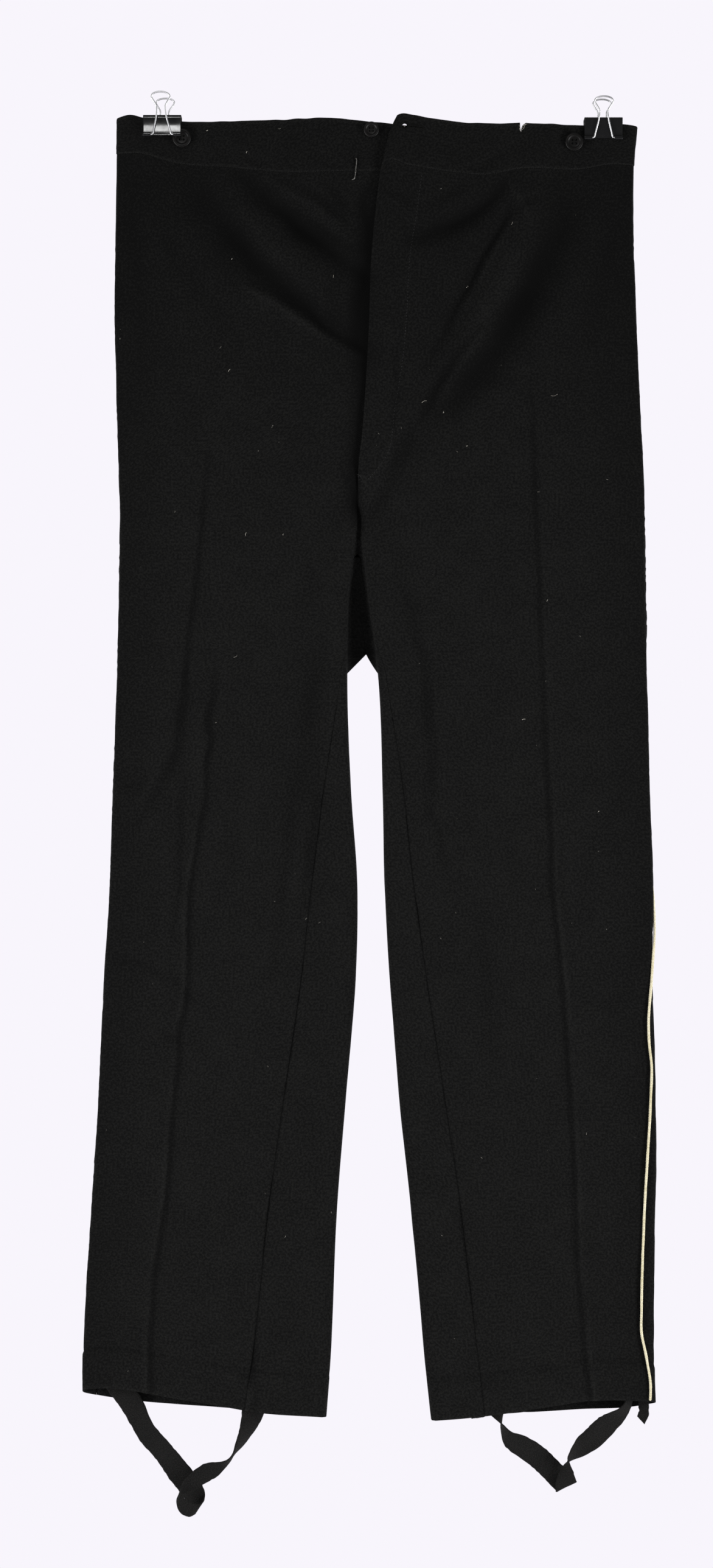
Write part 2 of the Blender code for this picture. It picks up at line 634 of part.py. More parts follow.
def back_lengths(section):
    half = SEAM_GAP / 2
    start = section.side_seam() + half
    end = section.total if section.closed else section.total - half
    crease = section.at_back(leg(section.side, "backCrease", section.z))
    cap = max(section.cap_end, start + 4.0)
    turn = min(section.back_end, end - 6.5)
    marks = [start, cap, crease - CREASE_WIDTH, crease, crease + CREASE_WIDTH, turn, end]
    return spread(marks, [3, 2, 1, 1, 4, 3])


def flap_lengths(section):
    end = section.inseam() - SEAM_GAP / 2
    start = 0.0 if section.closed else SEAM_GAP / 2
    turn = min(section.inner_end, start + (end - start) * 0.66)
    return spread([start, turn, end], [4, 2])


def make_object(name, vertices, faces, colour):
    mesh = bpy.data.meshes.new(name)
    mesh.from_pydata([tuple(float(c) * MM for c in v) for v in vertices], [], faces)
    mesh.validate()
    mesh.update()
    thing = bpy.data.objects.new(name, mesh)
    bpy.context.scene.collection.objects.link(thing)
    dress(thing, colour)
    return thing


def face_out(thing):
    mesh = bmesh.new()
    mesh.from_mesh(thing.data)
    bmesh.ops.recalc_face_normals(mesh, faces=mesh.faces)
    mesh.to_mesh(thing.data)
    mesh.free()


def dress(thing, colour):
    material = bpy.data.materials.get(colour)
    if material is None:
        material = bpy.data.materials.new(colour)
        material.use_nodes = True
        shade, rough, metal = COLOURS[colour]
        surface = material.node_tree.nodes["Principled BSDF"]
        surface.inputs["Base Color"].default_value = (*shade, 1.0)
        surface.inputs["Roughness"].default_value = rough
        surface.inputs["Metallic"].default_value = metal
    thing.data.materials.clear()
    thing.data.materials.append(material)


def make_wall(name, points, ways, quads, thick, colour):
    # Closes a sheet of outer points with an inner sheet and a rim.
    count = len(points)
    inner = points - ways * thick
    vertices = np.concatenate([points, inner])
    faces = [tuple(q) for q in quads]
    faces += [tuple(count + i for i in reversed(q)) for q in quads]
    seen = {}
    for q in quads:
        for a, b in zip(q, q[1:] + q[:1]):
            seen[(a, b)] = True
    for a, b in seen:
        if (b, a) in seen:
            continue
        # Two pieces that meet split their rims the same way, from the upper outer corner.
        if points[a][2] > points[b][2]:
            faces += [(b, a, count + b), (a, count + a, count + b)]
        else:
            faces += [(b, a, count + a), (b, count + a, count + b)]
    return make_object(name, vertices, faces, colour)


def grid_quads(rows, first, flip):
    # Faces between rows of vertex numbers.
    quads = []
    for upper, lower in zip(rows[first:], rows[first + 1:]):
        for j in range(len(upper) - 1):
            quad = (upper[j], lower[j], lower[j + 1], upper[j + 1])
            quads.append(tuple(reversed(quad)) if flip else quad)
    return quads


def front_panel(side):
    points = []
    ways = []
    rows = []
    total = 0
    for z in PANEL_ROWS:
        section = Section(side, z)
        row, way = lay_row(section, front_lengths(section))
        rows.append(list(range(total, total + len(row))))
        total += len(row)
        points.append(row)
        ways.append(way)
    quads = grid_quads(rows, 0, side == "right")
    return make_wall("front_" + side, np.concatenate(points), np.concatenate(ways), quads, CLOTH, "cloth")


def back_panel(side):
    # The main sheet and the fork, which are one piece of cloth from the arch down.
    points = []
    ways = []
    main_rows = []
    flap_rows = []
    total = 0
    for z in PANEL_ROWS:
        section = Section(side, z)
        row, way = lay_row(section, back_lengths(section))
        main_rows.append(list(range(total, total + len(row))))
        total += len(row)
        points.append(row)
        ways.append(way)
        if z > FORK_POINT:
            flap_rows.append([])
            continue
        row, way = lay_row(section, flap_lengths(section))
        if section.closed:
            flap_rows.append([main_rows[-1][-1]] + list(range(total, total + len(row) - 1)))
            row = row[1:]
            way = way[1:]
        else:
            flap_rows.append(list(range(total, total + len(row))))
        total += len(row)
        points.append(row)
        ways.append(way)
    first = PANEL_ROWS.index(FORK_POINT)
    flip = side == "right"
    quads = grid_quads(main_rows, 0, flip) + grid_quads(flap_rows, first, flip)
    return make_wall("back_" + side, np.concatenate(points), np.concatenate(ways), quads, CLOTH, "cloth")


def waistband(side):
    points = []
    ways = []
    rows = []
    total = 0
    for z in (0.0, -15.0, -30.0, -BAND_HEIGHT):
        section = Section(side, z)
        lengths = front_lengths(section)[:-1] + [section.side_seam()] + back_lengths(section)[1:]
        row, way = lay_row(section, lengths, BAND_PROUD)
        rows.append(list(range(total, total + len(row))))
        total += len(row)
        points.append(row)
        ways.append(way)
    quads = grid_quads(rows, 0, side == "right")
    points = np.concatenate(points)
    return make_wall("waistband_" + side, points, np.concatenate(ways), quads, BAND_CLOTH, "cloth")


def prism(name, outline, y_low, y_high):
    # A cutter: an outline seen from the front, drawn through in depth.
    count = len(outline)
    vertices = [(x, y_low, z) for x, z in outline] + [(x, y_high, z) for x, z in outline]
    faces = [tuple(range(count)), tuple(reversed(range(count, 2 * count)))]
    faces += [(i, count + i, count + (i + 1) % count, (i + 1) % count) for i in range(count)]
    cutter = make_object(name, vertices, faces, "cloth")
    face_out(cutter)
    cutter.hide_render = True
    cutter.display_type = "WIRE"
    return cutter


def cut(thing, cutter):
    boolean = thing.modifiers.new("cut", "BOOLEAN")
    boolean.operation = "DIFFERENCE"
    boolean.object = cutter


def cut_band(band):
    # The keyhole buttonhole and the small tear in the top edge.
    hole = BUTTONHOLE
    start = math.asin(hole["slot"] / hole["eye"])
    outline = []
    for angle in np.linspace(start, 2 * math.pi - start, 9):
        x = hole["eye_x"] + hole["eye"] * math.cos(angle)
        outline.append((x, hole["z"] + hole["eye"] * math.sin(angle)))
    outline.append((hole["slot_end"], hole["z"] + hole["drop"] - hole["slot"]))
    outline.append((hole["slot_end"], hole["z"] + hole["drop"] + hole["slot"]))
    cut(band, prism("buttonhole_cutter", outline, -30, -4))
    tear = TEAR
    half = tear["half_width"]
    sides = [(tear["x"] - half, 4), (tear["x"] + tear["lean"], tear["bottom"]), (tear["x"] + half, 4)]
    cut(band, prism("tear_cutter", sides, -30, -3))


def surface_of(name):
    mesh = bpy.data.objects[name].data
    return BVHTree.FromPolygons([v.co for v in mesh.vertices], [p.vertices for p in mesh.polygons])


def seat_depth(tree, x, z, radius):
    # The foremost depth of a cloth's front under a round of one radius.
    depths = [0.0]
    for share in (0.0, 0.5, 1.0):
        for i in range(SEAT_PROBES):
            angle = 2 * math.pi * i / SEAT_PROBES
            reach = radius * share
            start = Vector((x + reach * math.cos(angle), -60.0, z + reach * math.sin(angle))) * MM
            hit = tree.ray_cast(start, Vector((0.0, 1.0, 0.0)))
            if hit[0] is not None and hit[0].y < 0:
                depths.append(hit[0].y / MM)
    return min(depths)


def make_button(name, side, x, z, across):
    # Turned rim and dish, pierced by four holes, seated flat just off the waistband.
    radius = across / 2
    base = seat_depth(surface_of("waistband_" + side), x, z, radius) - SEAT_GAP
    vertices = [(x, base, z)]
    faces = []
    rings = []
    for share, rise in BUTTON_PROFILE:
        ring = []
        for i in range(BUTTON_SIDES):
            angle = 2 * math.pi * i / BUTTON_SIDES
            ring.append(len(vertices))
            vertices.append((x + radius * share * math.cos(angle), base - BUTTON_THICK * rise,
                             z + radius * share * math.sin(angle)))
        rings.append(ring)
    vertices.append((x, base - BUTTON_THICK * BUTTON_PROFILE[-1][1], z))
    tip = len(vertices) - 1
    for i in range(BUTTON_SIDES):
        j = (i + 1) % BUTTON_SIDES
        faces.append((0, rings[0][i], rings[0][j]))
        for low, high in zip(rings, rings[1:]):
            faces.append((low[i], high[i], high[j], low[j]))
        faces.append((rings[-1][i], tip, rings[-1][j]))
    button = make_object(name, vertices, faces, "button")
    face_out(button)
    size = radius * BUTTON_HOLE_SIZE
    for k in range(4):
        angle = math.pi / 4 + k * math.pi / 2
        hx = x + radius * BUTTON_HOLE_PLACE * math.cos(angle)
        hz = z + radius * BUTTON_HOLE_PLACE * math.sin(angle)
        turns = [2 * math.pi * i / 8 for i in range(8)]
        ring = [(hx + size * math.cos(turn), hz + size * math.sin(turn)) for turn in turns]
        cut(button, prism(f"{name}_hole_{k}", ring, base - BUTTON_THICK - 1, base + 1))
    return button


def make_tube(name, points, radius, sides, colour):
    # A round wire or cord along places, with flat ends.
    points = np.array(points, float)
    ahead = np.gradient(points, axis=0)
    ahead /= np.linalg.norm(ahead, axis=1)[:, None]
    across = np.array([0.0, 1.0, 0.0])
    vertices = []
    for place, way in zip(points, ahead):
        across = across - way * across.dot(way)
        across /= np.linalg.norm(across)
        up = np.cross(way, across)
        for i in range(sides):
            angle = 2 * math.pi * i / sides
            vertices.append(place + radius * (math.cos(angle) * across + math.sin(angle) * up))
    faces = [tuple(reversed(range(sides)))]
    for k in range(len(points) - 1):
        for i in range(sides):
            j = (i + 1) % sides
            faces.append((k * sides + i, k * sides + j, (k + 1) * sides + j, (k + 1) * sides + i))
    last = (len(points) - 1) * sides
    faces.append(tuple(range(last, last + sides)))
    return make_object(name, vertices, faces, colour)


def piping(side):
    # A cord in the side seam, standing just proud of the two panels.
    places = []
    for z in np.linspace(-BAND_HEIGHT - 2.5, HEM + 0.4, 34):
        section = Section(side, z)
        points, ways = lay_row(section, [section.side_seam()])
        places.append(points[0] + ways[0] * (PIPING_RADIUS + SEAT_GAP + 0.1))
    return make_tube("piping_" + side, places, PIPING_RADIUS, 6, "cord")


def smooth_rows(rows, steps):
    # More rows, read from smooth curves through a table's rows.
    rows = np.array(rows, float)
    spots = np.arange(len(rows), dtype=float)
    fine = np.linspace(0, len(rows) - 1, (len(rows) - 1) * steps + 1)
    return np.stack([smooth_along(spots, rows[:, k], fine) for k in range(rows.shape[1])], axis=1)


def tape(name, table, steps=2):
    # A flat tape between its two edges, with square sides.
    rows = smooth_rows(table, steps)
    first = rows[:, :3]
    second = rows[:, 3:]
    ahead = np.gradient((first + second) / 2, axis=0)
    out = np.cross(second - first, ahead)
    out /= np.linalg.norm(out, axis=1)[:, None]
    thick = out * TAPE_THICK / 2
    vertices = []
    for a, b, t in zip(first, second, thick):
        vertices += [a - t, b - t, b + t, a + t]
    faces = [(0, 1, 2), (0, 2, 3)]
    for k in range(len(rows) - 1):
        low = 4 * k
        high = low + 4
        # Both broad faces are split along the same way, so a twisted tape keeps its thickness.
        for a, b in ((0, 1), (1, 2), (3, 2), (0, 3)):
            faces += [(low + a, high + a, high + b), (low + a, high + b, low + b)]
    last = 4 * (len(rows) - 1)
    faces += [(last + 3, last + 2, last + 1), (last + 3, last + 1, last)]
    thing = make_object(name, vertices, faces, "tape")
    face_out(thing)
    return thing


def waist_hook():
    # A bent wire that lies on the front, just off the cloth.
    places = []
    under = [surface_of("waistband_right"), surface_of("front_right")]
    for x, z in smooth_rows(HOOK, 2):
        depth = min(seat_depth(tree, x, z, HOOK_WIRE + 1.5) for tree in under)
        places.append((x, depth - SEAT_GAP - HOOK_WIRE, z))
    return make_tube("waist_hook", places, HOOK_WIRE, 6, "wire")


def clip_profile(front_jaw, back_jaw):
    # The sheet of a clip seen from its end: the outer then the inner side, as (y, z).
    spine = CLIP_SPINE
    bottom = CLIP_TOP - CLIP_HEIGHT + LIP_RISE
    sheet = CLIP_SHEET
    outer = [(-front_jaw - sheet, bottom), (-spine - sheet, CLIP_TOP - 1.6), (-spine + 0.2, CLIP_TOP),
             (spine - 0.2, CLIP_TOP), (spine + sheet, CLIP_TOP - 1.6), (back_jaw + sheet, bottom)]
    inner = [(back_jaw, bottom), (spine, CLIP_TOP - 2.0), (spine - 1.0, CLIP_TOP - sheet),
             (-spine + 1.0, CLIP_TOP - sheet), (-spine, CLIP_TOP - 2.0), (-front_jaw, bottom)]
    return outer + inner


def curl_outline(y, sign):
    # The rolled lip at the foot of a jaw: an open ring about the wire's foot.
    inner = WIRE_RADIUS + SEAT_GAP
    outer = inner + CLIP_SHEET
    centre_y = y + sign * (outer + 0.02)
    centre_z = CLIP_TOP - CLIP_HEIGHT + LIP_RISE
    ring = []
    sweep = np.linspace(0, 1.62 * math.pi, 9)
    for angle in sweep:
        ring.append((centre_y - sign * outer * math.cos(angle), centre_z - outer * math.sin(angle)))
    for angle in sweep[::-1]:
        ring.append((centre_y - sign * inner * math.cos(angle), centre_z - inner * math.sin(angle)))
    return ring, centre_y, centre_z


def extrude_across(name, outline, x_low, x_high, colour):
    count = len(outline)
    vertices = [(x_low, y, z) for y, z in outline] + [(x_high, y, z) for y, z in outline]
    faces = [tuple(range(count)), tuple(reversed(range(count, 2 * count)))]
    faces += [(i, count + i, count + (i + 1) % count, (i + 1) % count) for i in range(count)]
    thing = make_object(name, vertices, faces, colour)
    face_out(thing)
    return thing


def add_lips(sheet, side, face, ring):
    # A lip at each end of a jaw's foot, with the wire's foot free between them.
    x = CLIPS[side]
    for end in (-1, 1):
        low, high = sorted((x + end * (FOOT_REACH + LIP_GAP), x + end * CLIP_WIDTH / 2))
        curl = extrude_across(f"clip_{side}_{face}_lip_{end}", ring, low, high, "lacquer")
        curl.hide_render = True
        curl.display_type = "WIRE"
        join = sheet.modifiers.new("lip", "BOOLEAN")
        join.operation = "UNION"
        join.object = curl


def make_handle(side, face, sign, centre_y, centre_z):
    # A bent wire from one lip up past the spine and down to the other lip.
    clear = CLIP_SPINE + CLIP_SHEET + WIRE_RADIUS + SEAT_GAP
    front = face == "front"
    top_z = HANDLE_TOP[side] - (0.0 if front else HANDLE_BACK_DROP)
    shift = 0.0 if front or side == "left" else 2.6
    lean_y = sign * (clear + HANDLE_LEAN)
    half = [(FOOT_REACH + across, up) for across, up in HANDLE_FOOT] + HANDLE_NECK
    places = []
    for across, up in smooth_rows(half + [(-a, b) for a, b in half[-2::-1]], 1):
        rise = centre_z + (top_z - centre_z) * up
        out = centre_y + (lean_y - centre_y) * min(up, 1)
        if up > 0.05:
            out = sign * max(abs(out), np.interp(rise, [centre_z, CLIP_TOP], [abs(centre_y), clear + 0.9]))
        places.append((CLIPS[side] + across + shift * up, out, rise))
    make_tube(f"clip_{side}_{face}_wire", places, WIRE_RADIUS, 6, "wire")


def make_clip(side):
    # A bent sheet with rolled lips, and a wire handle hinged in each lip.
    x = CLIPS[side]
    half = CLIP_WIDTH / 2
    profile = clip_profile(FRONT_JAW[side], BACK_JAW)
    sheet = extrude_across("clip_" + side, profile, x - half, x + half, "lacquer")
    for face, jaw, sign in (("front", FRONT_JAW[side], -1), ("back", BACK_JAW, 1)):
        ring, centre_y, centre_z = curl_outline(sign * jaw, sign)
        add_lips(sheet, side, face, ring)
        make_handle(side, face, sign, centre_y, centre_z)


def clear_scene():
    for thing in list(bpy.data.objects):
        bpy.data.objects.remove(thing, do_unlink=True)


def main():
    clear_scene()
    for side in ("right", "left"):
        front_panel(side)
        back_panel(side)
        band = waistband(side)
        if side == "left":
            cut_band(band)
        piping(side)
        make_clip(side)
    for name, (side, x, z, across) in BUTTONS.items():
        make_button(name, side, x, z, across)
    waist_hook()
    tape("foot_strap_right", RIGHT_STRAP)
    tape("foot_strap_left", LEFT_STRAP)
    tape("foot_strap_tip_left", LEFT_TIP, 1)
    tape("foot_strap_tail_left", LEFT_TAIL)


main()
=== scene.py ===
# Uniform trousers hung flat by the waistband from two spring clips, dressed for the picture.
# The front faces -Y, +X is the wearer's left and +Z is up. The cloth is worked out in
# millimetres and turned to metres when a mesh is made.
import math

import bmesh
import bpy
import numpy as np
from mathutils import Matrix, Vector
from mathutils.bvhtree import BVHTree


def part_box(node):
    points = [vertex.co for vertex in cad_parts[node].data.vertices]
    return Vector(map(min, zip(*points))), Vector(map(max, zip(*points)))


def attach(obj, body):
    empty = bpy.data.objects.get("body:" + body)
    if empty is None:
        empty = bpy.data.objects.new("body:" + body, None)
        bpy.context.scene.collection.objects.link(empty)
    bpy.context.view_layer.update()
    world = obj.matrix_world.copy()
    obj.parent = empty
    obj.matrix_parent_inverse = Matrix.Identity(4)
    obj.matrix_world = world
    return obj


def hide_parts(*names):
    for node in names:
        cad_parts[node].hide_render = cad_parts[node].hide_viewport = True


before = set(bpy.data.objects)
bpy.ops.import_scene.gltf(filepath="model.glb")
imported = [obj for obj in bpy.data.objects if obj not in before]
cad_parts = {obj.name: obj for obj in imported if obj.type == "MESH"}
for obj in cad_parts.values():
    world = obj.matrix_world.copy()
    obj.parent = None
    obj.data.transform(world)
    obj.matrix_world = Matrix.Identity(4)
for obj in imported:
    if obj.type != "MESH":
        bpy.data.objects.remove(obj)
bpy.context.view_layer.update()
mm = 0.001


def newObject(name, data):
    thing = bpy.data.objects.new(name, data)
    bpy.context.scene.collection.objects.link(thing)
    return thing


print("camera")
cameraSetting = {"lens": 85.0, "aimX": -0.0214, "aimZ": -0.5600, "distance": 3.11}
cameraData = bpy.data.cameras.new("camera")
cameraData.lens = cameraSetting["lens"]
camera = newObject("camera", cameraData)
camera.location = (cameraSetting["aimX"], -cameraSetting["distance"], cameraSetting["aimZ"])
camera.rotation_euler = (math.pi / 2, 0, 0)
bpy.context.scene.camera = camera


def hexColour(code):
    # An sRGB hex colour as linear values.
    shares = [int(code[i:i + 2], 16) / 255 for i in (1, 3, 5)]
    return tuple(s / 12.92 if s <= 0.04045 else ((s + 0.055) / 1.055) ** 2.4 for s in shares) + (1.0,)


def feed(tree, node, inputs):
    # Sets or links a node's inputs.
    for name, value in inputs.items():
        if isinstance(value, bpy.types.NodeSocket):
            tree.links.new(value, node.inputs[name])
        else:
            node.inputs[name].default_value = value


def addNode(tree, kind, inputs=None, **settings):
    node = tree.nodes.new(kind)
    for name, value in settings.items():
        setattr(node, name, value)
    feed(tree, node, inputs or {})
    return node


def addNoise(tree, place, scale, detail, roughness=0.5):
    return addNode(tree, "ShaderNodeTexNoise", {
        "Vector": place, "Scale": scale, "Detail": detail, "Roughness": roughness})


def mixColours(tree, share, a, b):
    mix = addNode(tree, "ShaderNodeMix", {"Factor": share, "A": a, "B": b}, data_type="RGBA")
    return mix.outputs["Result"]


def startMaterial(name):
    material = bpy.data.materials.new(name)
    material.use_nodes = True
    tree = material.node_tree
    return material, tree, tree.nodes["Principled BSDF"]


print("materials")


def makeCloth(name, look):
    # A woven cloth: twill lines along its own weave, a short nap over them, and soft worn patches.
    material, tree, shader = startMaterial(name)
    weave = addNode(tree, "ShaderNodeUVMap", uv_map="weave")
    onCloth = addNode(tree, "ShaderNodeMapping", {"Vector": weave.outputs["UV"], "Scale": (1000, 1000, 1000)})
    slanted = addNode(tree, "ShaderNodeMapping", {
        "Vector": onCloth.outputs[0], "Rotation": (0, 0, math.radians(look["slant"]))})
    lines = addNode(tree, "ShaderNodeTexWave", {
        "Vector": slanted.outputs[0], "Scale": 0.314 / look["lineMm"], "Distortion": 1.2, "Detail": 1.0,
        "Detail Scale": 2.0})
    nap = addNoise(tree, onCloth.outputs[0], 1 / look["napMm"], 4.0, 0.62)
    fleck = addNoise(tree, onCloth.outputs[0], 1 / look["fleckMm"], 2.0)
    place = addNode(tree, "ShaderNodeTexCoord")
    patch = addNoise(tree, place.outputs["Object"], 1000 / look["patchMm"], 3.0, 0.55)
    patchShare = addNode(tree, "ShaderNodeMapRange", {
        "Value": patch.outputs[0], "From Min": 0.35, "From Max": 0.70, "To Min": 0.0, "To Max": look["patchShare"]})
    fleckShare = addNode(tree, "ShaderNodeMapRange", {
        "Value": fleck.outputs[0], "From Min": 0.40, "From Max": 0.62, "To Min": 0.0, "To Max": look["fleckShare"]})
    share = addNode(tree, "ShaderNodeMath", {0: patchShare.outputs[0], 1: fleckShare.outputs[0]}, operation="ADD")
    wearAndShadeNode = addNode(tree, "ShaderNodeAttribute", attribute_name="wearAndShade")
    # worn patches, flecks and wear-and-shade values above nought lighten the colour: wear, and partly painted highlight
    # on ridges
    sharp = addNode(tree, "ShaderNodeMath", {0: wearAndShadeNode.outputs["Fac"], 1: look["wearAndShadeShare"], 2: share.outputs[0]},
                    operation="MULTIPLY_ADD", use_clamp=True)
    plain = mixColours(tree, sharp.outputs[0], hexColour(look["shade"]), hexColour(look["worn"]))
    # painted shade: below nought the wear-and-shade values darken the colour towards the trough shade colour, mostly in
    # troughs
    troughShade = addNode(tree, "ShaderNodeMath", {0: wearAndShadeNode.outputs["Fac"], 1: -look["troughShadeShare"]},
                   operation="MULTIPLY", use_clamp=True)
    colour = mixColours(tree, troughShade.outputs[0], plain, hexColour(look["troughShade"]))
    height = addNode(tree, "ShaderNodeMath", {
        0: lines.outputs["Fac"], 1: look["lineShare"], 2: nap.outputs[0]}, operation="MULTIPLY_ADD")
    bump = addNode(tree, "ShaderNodeBump", {
        "Height": height.outputs[0], "Strength": look["bump"], "Distance": look["bumpMm"] * mm})
    feed(tree, shader, {
        "Base Color": colour, "Normal": bump.outputs[0], "Roughness": look["roughness"],
        "Specular IOR Level": look["specular"], "Sheen Weight": look["sheen"],
        "Sheen Roughness": look["sheenRoughness"], "Sheen Tint": hexColour(look["sheenTint"])})
    return material


# Wool serge, milled and piece dyed: a fine steep twill that the nap half hides, dull black.
# The real twill is 0.6 mm, drawn at 1.1 mm so that it shows.
woolSerge = makeCloth("woolSerge", {
    "shade": "#0d0d0d", "worn": "#232322", "slant": 63, "lineMm": 1.1, "napMm": 0.9, "fleckMm": 1.8, "patchMm": 17,
    "patchShare": 0.09, "fleckShare": 0.38, "lineShare": 0.5, "bump": 0.55, "bumpMm": 0.35, "roughness": 0.92,
    "troughShade": "#060606", "troughShadeShare": 0.75, "wearAndShadeShare": 0.4, "specular": 0.04, "sheen": 0.02,
    "sheenRoughness": 0.5, "sheenTint": "#9c9c9a"})
# Worsted braid, woven flat: fine cross ribs, a little browner and glossier than the serge.
wovenTape = makeCloth("wovenTape", {
    "shade": "#0f0f0f", "worn": "#232221", "slant": 90, "lineMm": 0.9, "napMm": 0.7, "fleckMm": 1.0, "patchMm": 35,
    "patchShare": 0.25, "fleckShare": 0.5, "lineShare": 1.0, "bump": 0.7, "bumpMm": 0.3, "roughness": 0.85,
    "troughShade": "#0a0a0a", "troughShadeShare": 0.5, "wearAndShadeShare": 0.5, "specular": 0.08, "sheen": 0.03,
    "sheenRoughness": 0.5, "sheenTint": "#a2a09e"})
# Cream cord piping: cotton cord under a bias strip, its threads on the slant, dirty in places.
pipingCord = makeCloth("pipingCord", {
    "shade": "#cfc59f", "worn": "#efe8cf", "slant": 45, "lineMm": 0.8, "napMm": 0.6, "fleckMm": 1.4, "patchMm": 22,
    "patchShare": 0.5, "fleckShare": 0.5, "lineShare": 1.4, "bump": 0.8, "bumpMm": 0.25, "roughness": 0.8,
    "troughShade": "#8f8564", "troughShadeShare": 0.5, "wearAndShadeShare": 0.5, "specular": 0.2, "sheen": 0.08,
    "sheenRoughness": 0.4, "sheenTint": "#ffffff"})


def makeSolid(name, look):
    # A hard finish: a slight change of colour, fine scratches or grain, and its own gloss.
    material, tree, shader = startMaterial(name)
    place = addNode(tree, "ShaderNodeTexCoord")
    stretched = addNode(tree, "ShaderNodeMapping", {"Vector": place.outputs["Object"], "Scale": look["stretch"]})
    patch = addNoise(tree, stretched.outputs[0], 1000 / look["patchMm"], 4.0)
    grain = addNoise(tree, stretched.outputs[0], 1000 / look["grainMm"], 2.0)
    colour = mixColours(tree, patch.outputs[0], hexColour(look["shade"]), hexColour(look["worn"]))
    gloss = addNode(tree, "ShaderNodeMapRange", {
        "Value": patch.outputs[0], "From Min": 0.3, "From Max": 0.7, "To Min": look["roughness"][0],
        "To Max": look["roughness"][1]})
    bump = addNode(tree, "ShaderNodeBump", {
        "Height": grain.outputs[0], "Strength": look["bump"], "Distance": look["bumpMm"] * mm})
    feed(tree, shader, {
        "Base Color": colour, "Roughness": gloss.outputs[0], "Normal": bump.outputs[0],
        "Metallic": look["metallic"], "Specular IOR Level": look["specular"]})
    return material


# Moulded horn-coloured plastic, polished: deep brown-black with a soft wet shine.
hornPlastic = makeSolid("hornPlastic", {
    "shade": "#070707", "worn": "#0e0c0b", "patchMm": 6, "grainMm": 0.8, "stretch": (1, 1, 1),
    "roughness": (0.32, 0.46), "bump": 0.08, "bumpMm": 0.05, "metallic": 0.0, "specular": 0.15})
# Stoved black enamel on spring steel: smooth and mirror-like, dulled a little by handling.
blackEnamel = makeSolid("blackEnamel", {
    "shade": "#0b0b0c", "worn": "#131314", "patchMm": 9, "grainMm": 0.5, "stretch": (1, 1, 1),
    "roughness": (0.09, 0.18), "bump": 0.05, "bumpMm": 0.03, "metallic": 0.0, "specular": 0.28})
# Nickel-plated drawn wire: bright, with faint lines along the draw.
drawnWire = makeSolid("drawnWire", {
    "shade": "#bebec2", "worn": "#ebebed", "patchMm": 5, "grainMm": 0.25, "stretch": (4, 4, 0.6),
    "roughness": (0.28, 0.42), "bump": 0.12, "bumpMm": 0.03, "metallic": 1.0, "specular": 0.5})
# Steel wire gone grey with age, with a little of its shine left.
greyWire = makeSolid("greyWire", {
    "shade": "#4a4947", "worn": "#8c8a86", "patchMm": 3, "grainMm": 0.3, "stretch": (1, 1, 1),
    "roughness": (0.28, 0.5), "bump": 0.2, "bumpMm": 0.04, "metallic": 1.0, "specular": 0.5})


def makeThread(name, shade, worn, specular):
    # Twisted sewing thread or loose fibre: one soft colour with a slight sheen.
    material, tree, shader = startMaterial(name)
    place = addNode(tree, "ShaderNodeTexCoord")
    change = addNoise(tree, place.outputs["Object"], 180.0, 2.0)
    colour = mixColours(tree, change.outputs[0], hexColour(shade), hexColour(worn))
    feed(tree, shader, {"Base Color": colour, "Roughness": 0.7, "Specular IOR Level": specular})
    return material


# Black silk twist, which catches the light a little more than the wool, new, dulled and in shadow.
blackTwist = makeThread("blackTwist", "#1b1b1c", "#363536", 0.25)
dullTwist = makeThread("dullTwist", "#151515", "#2a2a29", 0.12)
darkTwist = makeThread("darkTwist", "#090909", "#151514", 0.08)
# Cotton core threads and lint, bleached and dusty.
paleFibre = makeThread("paleFibre", "#8f8a80", "#e0dbd0", 0.1)

print("cloth tables")
cloth = {
    "thick": 1.6, "bandThick": 3.0, "bandProud": 0.5, "seamGap": 0.06, "spread": 0.65, "bandHeight": 44.0,
    "crotchTop": -322.0, "forkPoint": -370.0, "archTop": -451.0, "archFoot": -467.0, "hem": -1080.0,
    "capRadius": 4.2, "innerRadius": 4.5, "grooveRadius": 4.0, "tailRadius": 3.5, "capReach": 56.0,
    "innerReach": 62.0, "jawDepth": 3.7, "flyUnder": 22.0, "flySeamTop": -296.0, "inseamStart": 2.8,
    "faceSteps": 160, "foldWaver": 2.5, "creaseHeight": 2.4, "creaseWidth": 9.0, "creaseStart": -230.0,
    "creaseBreak": -496.0, "breakHalf": 19.0, "lapLift": 2.3, "lapBulge": 1.4, "lapFlat": 27.0, "lapFall": 34.0,
    "pinchFrom": -18.0, "pinchFall": 90.0, "pinchHalf": 19.0, "pinchFade": 52.0, "waistFall": 150.0,
    "hemRise": -880.0}
clipPlaces = {"right": -184.4, "left": 185.8}

legColumns = ("z", "outer", "inner", "inseam", "crease", "backCrease", "sideSeam", "inside")
rightLeg = [
    (0, -222, -19.8, -26, -132, -118, -13, 10.8),
    (-60, -222.4, -19.8, -26, -134, -118, -13, 10.8),
    (-160, -223.9, -19.8, -26, -139, -118, -13, 10.8),
    (-260, -221.9, -19.8, -26, -147, -118, -13, 10.8),
    (-322, -219.9, -19.9, -26, -151, -118, -13, 10.8),
    (-400, -220.5, -27.5, -30, -160, -118, -12, 10.8),
    (-470, -222.1, -29.1, -35, -162, -118, -12, 10.6),
    (-570, -225.5, -25.8, -49.5, -167.5, -108, -12, 6.6),
    (-640, -228, -20.9, -58.4, -171, -101, -12, 5.2),
    (-720, -232.6, -22, -67.5, -175, -102, -12, 4.7),
    (-820, -237.7, -30, -81.9, -182, -106, -12, 4.6),
    (-920, -243.7, -38, -95.5, -190, -109, -12.5, 4.6),
    (-1025, -249.4, -42.8, -107.4, -195.8, -112, -13, 4.8),
    (-1100, -251, -48.6, -118.5, -198, -114, -13.5, 5.2),
]
